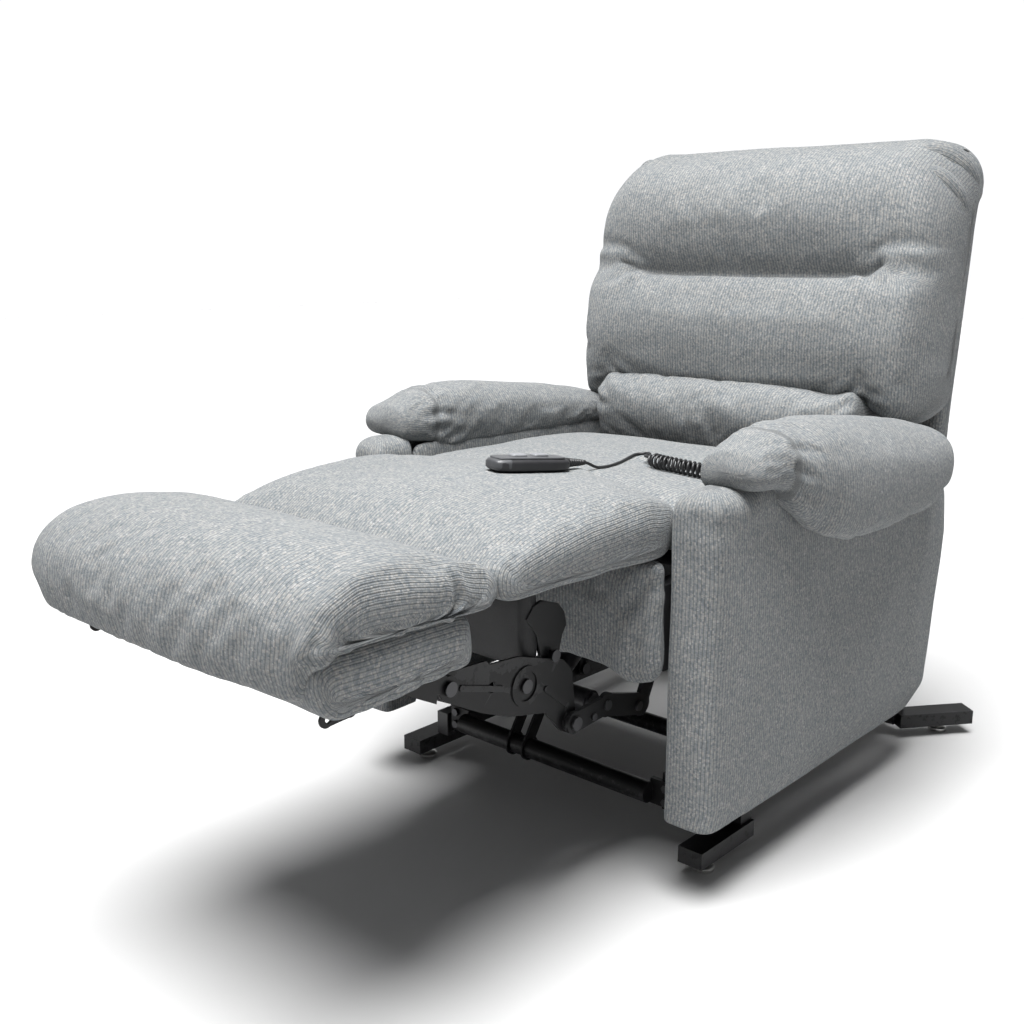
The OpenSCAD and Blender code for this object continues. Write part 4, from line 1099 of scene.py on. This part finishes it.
def make_back():
    half, rim = 342, 44

    def crown(a, y):
        front = np.interp(a, [0, 250, 275, 300, 322, 342], [1050, 1050, 1042, 1020, 985, 945])
        rear = np.interp(a, [0, 262, 300, 325, 342], [1050, 1050, 1042, 1026, 1006])
        return front + (rear - front) * smooth(520, 625, y)

    def ring(x):
        a = abs(x)
        z_low = np.interp(a, [0, 150, 225, 256, 300, 342], [608, 613, 624, 629, 597, 588])

        def up(y, z):
            lift = float(crown(a, y) - 860) / (1050 - 860)
            return y + 10 * (1 - lift), 860 + (z - 860) * lift

        side = 7 * (a / 340) ** 3
        seam = smooth(276, 236, a)
        points = [
            (600, z_low + 14), (560, z_low + 1), (500, z_low - 6), (462, z_low - 4), (440, z_low + 6),
            (426 + side, z_low + 24), (418 + side, 688), (417 + side, 726), (422 + side, 766),
            (433 + side - 2 * (1 - seam), 802), (449 + side - 5 * (1 - seam), 822),
            (466 + side - 12 * (1 - seam), 836), (468 + side - 12 * (1 - seam), 850),
            (465 + side - 8 * (1 - seam), 866), up(460 + side * 1.6, 886), up(456 + side * 2.4, 912),
            up(455 + side * 3.2, 938), up(462 + side * 3.4, 968), up(484 + side * 2.6, 1000),
            up(520 + side * 1.4, 1026), up(566, 1043), up(592, 1048), up(614, 1050), up(640, 1045),
            up(662, 1032), up(678, 1012), up(682, 1000), up(672, 990), up(655, 960), (645, 860), (632, 780),
            (616, 690),
        ]
        return spline(points, 190)

    def spine(x, r):
        zt = float(crown(abs(x), 600))
        z = np.clip(r[:, 1], 668, zt - 56)
        y = np.interp(z, [640, 850, 1000], [575, 600, 628])
        return np.stack([y, z], 1)

    grid = across(half, rim, 8, ring, spine, 2.8)
    grid = uneven(grid, 1.7, 230, 81)
    grid = uneven(grid, 0.8, 62, 82)
    d, _ = nearest(grid, [(x, 467, z) for x, z in SEAM_1])
    flat = np.abs(grid[:, :, 0]) * 1000
    held = np.exp(-((d / 0.012) ** 2)) * smooth(285, 240, flat)
    rear = smooth(0.585, 0.61, grid[:, :, 1])
    grid = settle(grid, np.maximum(held, rear), 1.5, 0.006, 4.5, 14)
    d, _ = nearest(grid, [(x, 466, z) for x, z in SEAM_1])
    deep = 3 + 16 * smooth(276, 236, flat) * np.where(
        grid[:, :, 0] > 0, 1, 1 - 0.45 * smooth(190, 250, flat),
    )
    push = np.exp(-((d / 0.0050) ** 2)) * deep + np.exp(-((d / 0.020) ** 2)) * deep * 0.2
    front = smooth(0.56, 0.50, grid[:, :, 1])
    grid = grid - outward(grid) * (push * front * MM)[:, :, None]
    line = [(x, 464, z) for x, z in SEAM_1]
    grid = gathers(grid, line, 0.9, 42, 26, 83)
    low = [(x, 432, 640) for x in (-300, -200, -100, 0, 100, 200, 300)]
    grid = gathers(grid, low, 1.0, 38, 30, 84)
    # tucks where the deep part of the seam ends
    creases = [
        ([(234, 462, 836), (252, 452, 847), (282, 456, 852)], 8, 7, 0.6, 0.0, 0.6),
        ([(234, 464, 834), (256, 446, 822), (282, 444, 810)], 5, 9, 0.5, 0.0, 0.7),
        ([(212, 440, 622), (238, 426, 640), (268, 420, 662)], 9, 8, 0.6, 0.0, 0.6),
        ([(244, 446, 628), (268, 430, 622), (306, 432, 612)], 9, 8, 0.6, 0.05, 0.5),
        ([(250, 446, 632), (272, 426, 640), (310, 428, 640)], 5, 8, 0.6, 0.05, 0.6),
        ([(318, 560, 640), (330, 520, 655), (318, 470, 690)], 4, 10, 0.5, 0.05, 0.6),
    ]
    grid = folds(grid, creases, BOTH)
    low = [(x, 432, 612) for x in (-300, -200, -100, 0, 100, 200, 300)]
    grid = gathers(grid, low, 1.0, 46, 26, 85)
    soft("back_cushion", "back", grid, ["head_cushion", "mid_back_cushion"])
    for tag, row in (("left", -7), ("right", 6)):
        edge = grid[row] / MM
        edge = edge[(edge[:, 1] > 596) & (edge[:, 0] * (1 if row < 0 else -1) > 0)]
        path = spline(edge[1:-1:3], 150, closed=False)
        obj = tube("back_piping_" + tag, path, 2.7, TWEED, 8, 0)
        fit(obj, "back")
    pleats = (
        [(246, 560, 1020), (280, 578, 1024), (306, 604, 1008), (321, 632, 980), (322, 654, 948)],
        [(250, 612, 1026), (284, 632, 1024), (308, 646, 1004), (320, 656, 974), (320, 664, 944)],
        [(276, 528, 994), (300, 542, 988), (319, 564, 964), (326, 592, 934), (326, 616, 902)],
    )
    for s, tag in ((1, "left"), (-1, "right")):
        for k, route in enumerate(pleats):
            path = spline([(s * x, y, z) for x, y, z in route], 40, closed=False)
            t = np.linspace(0, 1, 40)
            obj = tube(
                f"corner_pleat_{tag}_{k}", path,
                4 + (0.9 + 0.1 * s) * (22, 20, 17)[k] * np.sin(math.pi * t) ** 0.7, TWEED, 20, 1,
            )
            fit(obj, "back")


def make_lumbar():
    half, rim = 263, 26
    outline = [
        (590, 535), (560, 519), (480, 513), (420, 512), (400, 516), (389, 528), (383, 548), (379, 575),
        (379, 598), (384, 620), (396, 636), (425, 644), (480, 646), (550, 646), (592, 640), (594, 600),
    ]
    base = spline(outline, 120)

    def ring(x):
        c = (abs(x) / half) ** 3
        return base + np.stack([8 * c * smooth(560, 420, base[:, 0]), np.zeros(len(base))], 1)

    def spine(_, r):
        return np.stack([np.clip(r[:, 0], 430, 560), np.full(len(r), 586.0)], 1)

    grid = across(half, rim, 9, ring, spine, 2.4)
    grid = uneven(grid, 2.0, 150, 91)
    pin = np.maximum(smooth(0.45, 0.49, grid[:, :, 1]), 1 - smooth(0.514, 0.53, grid[:, :, 2]))
    grid = settle(grid, pin, 1.8, 0.010, 6, 12)
    upper = [(x, 392, 628) for x in (-255, -120, 0, 120, 255)]
    grid = gathers(grid, upper, 2.2, 36, 34, 92)
    creases = [
        ([(262, 396, 600), (240, 378, 590), (205, 372, 586)], 5, 9, 0.5, 0.02, 0.7),
        ([(250, 400, 632), (238, 382, 616), (214, 372, 600)], 6, 8, 0.5, 0.0, 0.7),
        ([(170, 402, 632), (160, 382, 616), (150, 372, 598)], 4, 9, 0.5, 0.0, 0.7),
    ]
    grid = folds(grid, creases, BOTH)
    soft("lumbar_pad", "back", grid, ["lumbar_cushion"])


def make_back_shell():
    half, rim = 323, 20
    outline = [
        (592, 530), (604, 524), (628, 523), (641, 528), (646, 545), (652, 600), (664, 700), (677, 800),
        (690, 900), (698, 955), (699, 968), (694, 979), (681, 983), (665, 980), (654, 966), (640, 900),
        (626, 800), (612, 700), (598, 600), (591, 550),
    ]
    base = spline(outline, 120)

    def spine(_, r):
        z = np.clip(r[:, 1], 556, 955)
        return np.stack([np.interp(z, [530, 1000], [618, 674]), z], 1)

    def ring(x):
        bulge = 4 * (1 - (abs(x) / half) ** 2)
        return base + np.stack(
            [bulge * smooth(620, 650, base[:, 0] - (base[:, 1] - 530) * 0.11), np.zeros(len(base))], 1,
        )

    grid = across(half, rim, 14, ring, spine, 2.5)
    grid = uneven(grid, 1.2, 220, 101)
    seam = [(303, 640, 535), (303, 668, 700), (303, 694, 900), (303, 704, 992)]
    grid = folds(grid, [(seam, 2.6, 3.2, 0.5, 0.01, 0.01)], BOTH)
    soft("outer_back", "back", grid, ["outer_back_panel"], fill=0.5)


def make_mid_ottoman():
    half, rim = 205, 12
    outline = [
        (-333, 374), (-330, 364), (-320, 361), (-309, 365), (-304, 377), (-302, 430), (-304, 456),
        (-310, 468), (-322, 472), (-332, 466), (-336, 450), (-336, 420),
    ]
    base = spline(outline, 72)

    def ring(x):
        # a shallow notch leaves room for the lift motor when the board is folded back
        notch = 13 * smooth(84, 56, abs(x)) * smooth(400, 372, base[:, 1])
        return base + np.stack([np.zeros(len(base)), notch], 1)

    def spine(_, r):
        return np.stack([np.full(len(r), -320.0), np.clip(r[:, 1], 380, 454)], 1)

    grid = across(half, rim, 12, ring, spine, 2.4)
    grid = uneven(grid, 0.8, 90, 111)
    for x in (-150, -90, -30, 30, 90, 150):
        grid = fold(grid, [(x, -306, 367), (x + 2, -302, 386), (x, -302, 406)], 1.6, 6, 0.5, 0.05, 0.7)
    soft("mid_ottoman_cover", "mid_ottoman", grid, ["mid_ottoman_board"], material=VINYL, fill=0.8)


make_chaise()
make_seat()
make_foot_pad()
make_board()
make_front_rail()
both_sides(make_wall, "arm_side", "chassis", ["arm_posts", "side_panels"], along_ring=False, fill=0.4)
both_sides(make_pillow, "arm_pillow", "chassis", ["arm_pillows"], turned=PILLOW_BAND)
both_sides(make_inner_panel, "inner_arm", "chassis", ["arm_inner_panels"], planar=(1, 2), fill=0.3)
make_back()
make_lumbar()
make_back_shell()
make_mid_ottoman()


# ---------- handset ----------


def make_handset():
    def station(ys, widths, lows, highs, power, sides=40):
        turn = np.linspace(0, 2 * math.pi, sides, endpoint=False)
        c, s = np.cos(turn), np.sin(turn)
        grid = []
        for y, w, lo, hi in zip(ys, widths, lows, highs, strict=True):
            x = w / 2 * np.sign(c) * np.abs(c) ** (2 / power)
            z = (lo + hi) / 2 + (hi - lo) / 2 * np.sign(s) * np.abs(s) ** (2 / power)
            grid.append([handset_point(a, y, b) for a, b in zip(x, z, strict=True)])
        return np.array(grid) * MM

    ys = [-63, -62.6, -61, -57, -50, -35, -10, 15, 35, 48, 56, 60.5, 62.6, 63]
    wide = [10, 26, 34, 40, 43.5, 45.5, 46, 45, 43, 39, 34, 29, 22, 8]
    low = [9, 4.5, 2.6, 1.0, 0.3, 0, 0, 0, 0, 0.4, 1.2, 2.6, 5, 9]
    high = [11, 15.5, 17.6, 19, 19.6, 20, 20, 20, 19.6, 19, 18, 16.6, 14.5, 11]
    shell = skin("handset_body", station(ys, wide, low, high, 3.4), PLASTIC, False, 1)
    fit(shell, "chassis", ["handset_shell"])
    relief = [(54, 5.2), (60, 7.0), (63, 7.4), (66, 7.1)]
    for k in range(6):
        y = 67 + k * 4.4
        r = 6.7 - 0.42 * k
        relief += [(y, r), (y + 0.5, r - 0.9), (y + 1.5, r - 0.9), (y + 2, r - 0.1)]
    relief += [(94, 4.0), (97, 3.5), (97.6, 2.9)]
    path = [handset_point(0, y, 11) for y, _ in relief]
    boot = tube("cord_relief", path, [r for _, r in relief], CORD, 20, 0)
    fit(boot, "chassis", ["handset_shell"])
    ys = [-59, -58.6, -57, -52, -40, 0, 34, 46, 52, 54.6, 55]
    wide = [8, 22, 28, 33, 35.5, 36, 34.5, 31, 26, 20, 8]
    plate = skin(
        "handset_plate",
        station(ys, wide, [18] * 11, [19.4, 20.4, 20.9, 21.2, 21.4, 21.4, 21.2, 21, 20.7, 20.3, 19.4], 5),
        GREY_DARK, False, 1,
    )
    fit(plate, "chassis", ["handset_face"])
    nose = skin(
        "handset_nose",
        station(
            [-64, -63.8, -63, -60, -54, -46, -40, -39], [12, 24, 30, 37, 41.5, 44, 45, 40],
            [8, 5.6, 4, 2, 0.8, 0.2, 0.4, 2], [12, 15, 16.8, 18.6, 19.6, 20.2, 20.2, 18], 3.4,
        ),
        GREY_DARK, False, 1,
    )
    fit(nose, "chassis")
    for y, body, node in (
        (-20, "button_up", "handset_button_up"), (16, "button_down", "handset_button_down"),
    ):
        ys = y + np.array([-12.6, -12.3, -11, -8, 0, 8, 11, 12.3, 12.6])
        wide = [4, 11, 14.5, 17, 18, 17, 14.5, 11, 4]
        high = [21.6, 23.2, 24.4, 25.2, 25.0, 25.2, 24.4, 23.2, 21.6]
        cap = skin(
            node.replace("handset_", "") + "_cap", station(ys, wide, [19] * 9, high, 3.2), GREY, False, 1,
        )
        fit(cap, body, [node])


make_handset()


# ---------- metal and timber that the CAD already shapes ----------


FINISH = {
    PAINT: [
        "base_side_rails", "base_front_tube", "base_rear_tube", "front_foot_arms", "rear_foot_arms",
        "lift_pivot_brackets", "lift_link_arms", "lift_torque_tube", "rear_link_arms", "chassis_plates",
        "chassis_cross_members", "chassis_hangers", "leg_torque_tube", "leg_link_arms", "leg_couplers",
        "mid_ottoman_brackets", "ottoman_brackets", "ottoman_front_brackets", "back_hinges",
        "lift_motor_bracket",
    ],
    ZINC: ["lock_nuts", "levelling_feet"],
    DARK_ZINC: ["base_bolts", "base_pivot_pins", "chassis_pins", "leg_link_caps", "coupler_pins"],
    CHROME: ["lift_rod", "leg_rod"], SPRING: ["seat_springs"],
    PLASTIC: ["base_end_plugs", "power_box", "lift_motor", "leg_motor", "cord_gland"],
    GREY: ["power_inlet"], WOOD: ["arm_rails", "back_frame"], DUST: ["seat_box"],
}


def dress_cad():
    for material, names in FINISH.items():
        for name in names:
            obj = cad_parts[name]
            obj.data.materials.clear()
            obj.data.materials.append(material)
            weld = obj.modifiers.new("weld", "WELD")
            weld.merge_threshold = 0.00001
            bevel = obj.modifiers.new("bevel", "BEVEL")
            bevel.width = 0.0009 if material is not WOOD else 0.002
            bevel.segments = 2
            bevel.limit_method = "ANGLE"
            bevel.angle_limit = math.radians(40)
            bevel.harden_normals = False


dress_cad()


# ---------- floor and light ----------


def make_stage():
    size = 14
    mesh = bpy.data.meshes.new("floor")
    n = 8
    side = np.linspace(-size, size, n + 1)
    verts = [(x, y, 0.0) for y in side for x in side]
    faces = [
        [r * (n + 1) + c, r * (n + 1) + c + 1, (r + 1) * (n + 1) + c + 1, (r + 1) * (n + 1) + c]
        for r in range(n)
        for c in range(n)
    ]
    mesh.from_pydata(verts, [], faces)
    mesh.materials.append(floor_paint("floor"))
    floor = bpy.data.objects.new("floor", mesh)
    scene.collection.objects.link(floor)

    sun = bpy.data.lights.new("key", "SUN")
    sun.energy = 6.5
    sun.angle = math.radians(38)
    key = bpy.data.objects.new("key", sun)
    key.rotation_mode = "QUATERNION"
    key.rotation_quaternion = Vector((0.01, -0.21, 0.97)).to_track_quat("Z", "Y")
    scene.collection.objects.link(key)

    area = bpy.data.lights.new("overhead", "AREA")
    area.energy = 30
    area.size = 0.9
    top = bpy.data.objects.new("overhead", area)
    top.location = (0.22, -0.40, 1.95)
    top.rotation_mode = "QUATERNION"
    top.rotation_quaternion = Vector((0.16, -0.22, 1.35)).to_track_quat("Z", "Y")
    scene.collection.objects.link(top)

    world = bpy.data.worlds.new("studio")
    world.use_nodes = True
    scene.world = world
    t = world.node_tree
    t.nodes.clear()
    out = t.nodes.new("ShaderNodeOutputWorld")
    bg = t.nodes.new("ShaderNodeBackground")
    coord = t.nodes.new("ShaderNodeTexCoord")
    sep = t.nodes.new("ShaderNodeSeparateXYZ")
    t.links.new(coord.outputs["Generated"], sep.inputs[0])
    dot = t.nodes.new("ShaderNodeVectorMath")
    dot.operation = "DOT_PRODUCT"
    dot.inputs[1].default_value = (-0.674, 0.739, 0.0)
    t.links.new(coord.outputs["Generated"], dot.inputs[0])

    def ramp(value, a, b):
        n = t.nodes.new("ShaderNodeMapRange")
        n.interpolation_type = "SMOOTHSTEP"
        n.inputs[1].default_value, n.inputs[2].default_value = a, b
        t.links.new(value, n.inputs[0])
        return n.outputs[0]

    def mixed(factor, a, b):
        n = t.nodes.new("ShaderNodeMix")
        t.links.new(factor, n.inputs[0])
        for socket, value in ((n.inputs[2], a), (n.inputs[3], b)):
            if isinstance(value, bpy.types.NodeSocket):
                t.links.new(value, socket)
            else:
                socket.default_value = value
        return n.outputs[0]

    level = mixed(
        ramp(sep.outputs[2], 0.24, 0.42), mixed(ramp(dot.outputs["Value"], 0.5, 0.82), 0.17, 1.03), 0.19,
    )
    t.links.new(level, bg.inputs[1])
    bg.inputs[0].default_value = (0.985, 0.99, 1.0, 1)
    t.links.new(bg.outputs[0], out.inputs[0])
    scene.view_settings.view_transform = "Standard"
    scene.view_settings.look = "None"


make_stage()
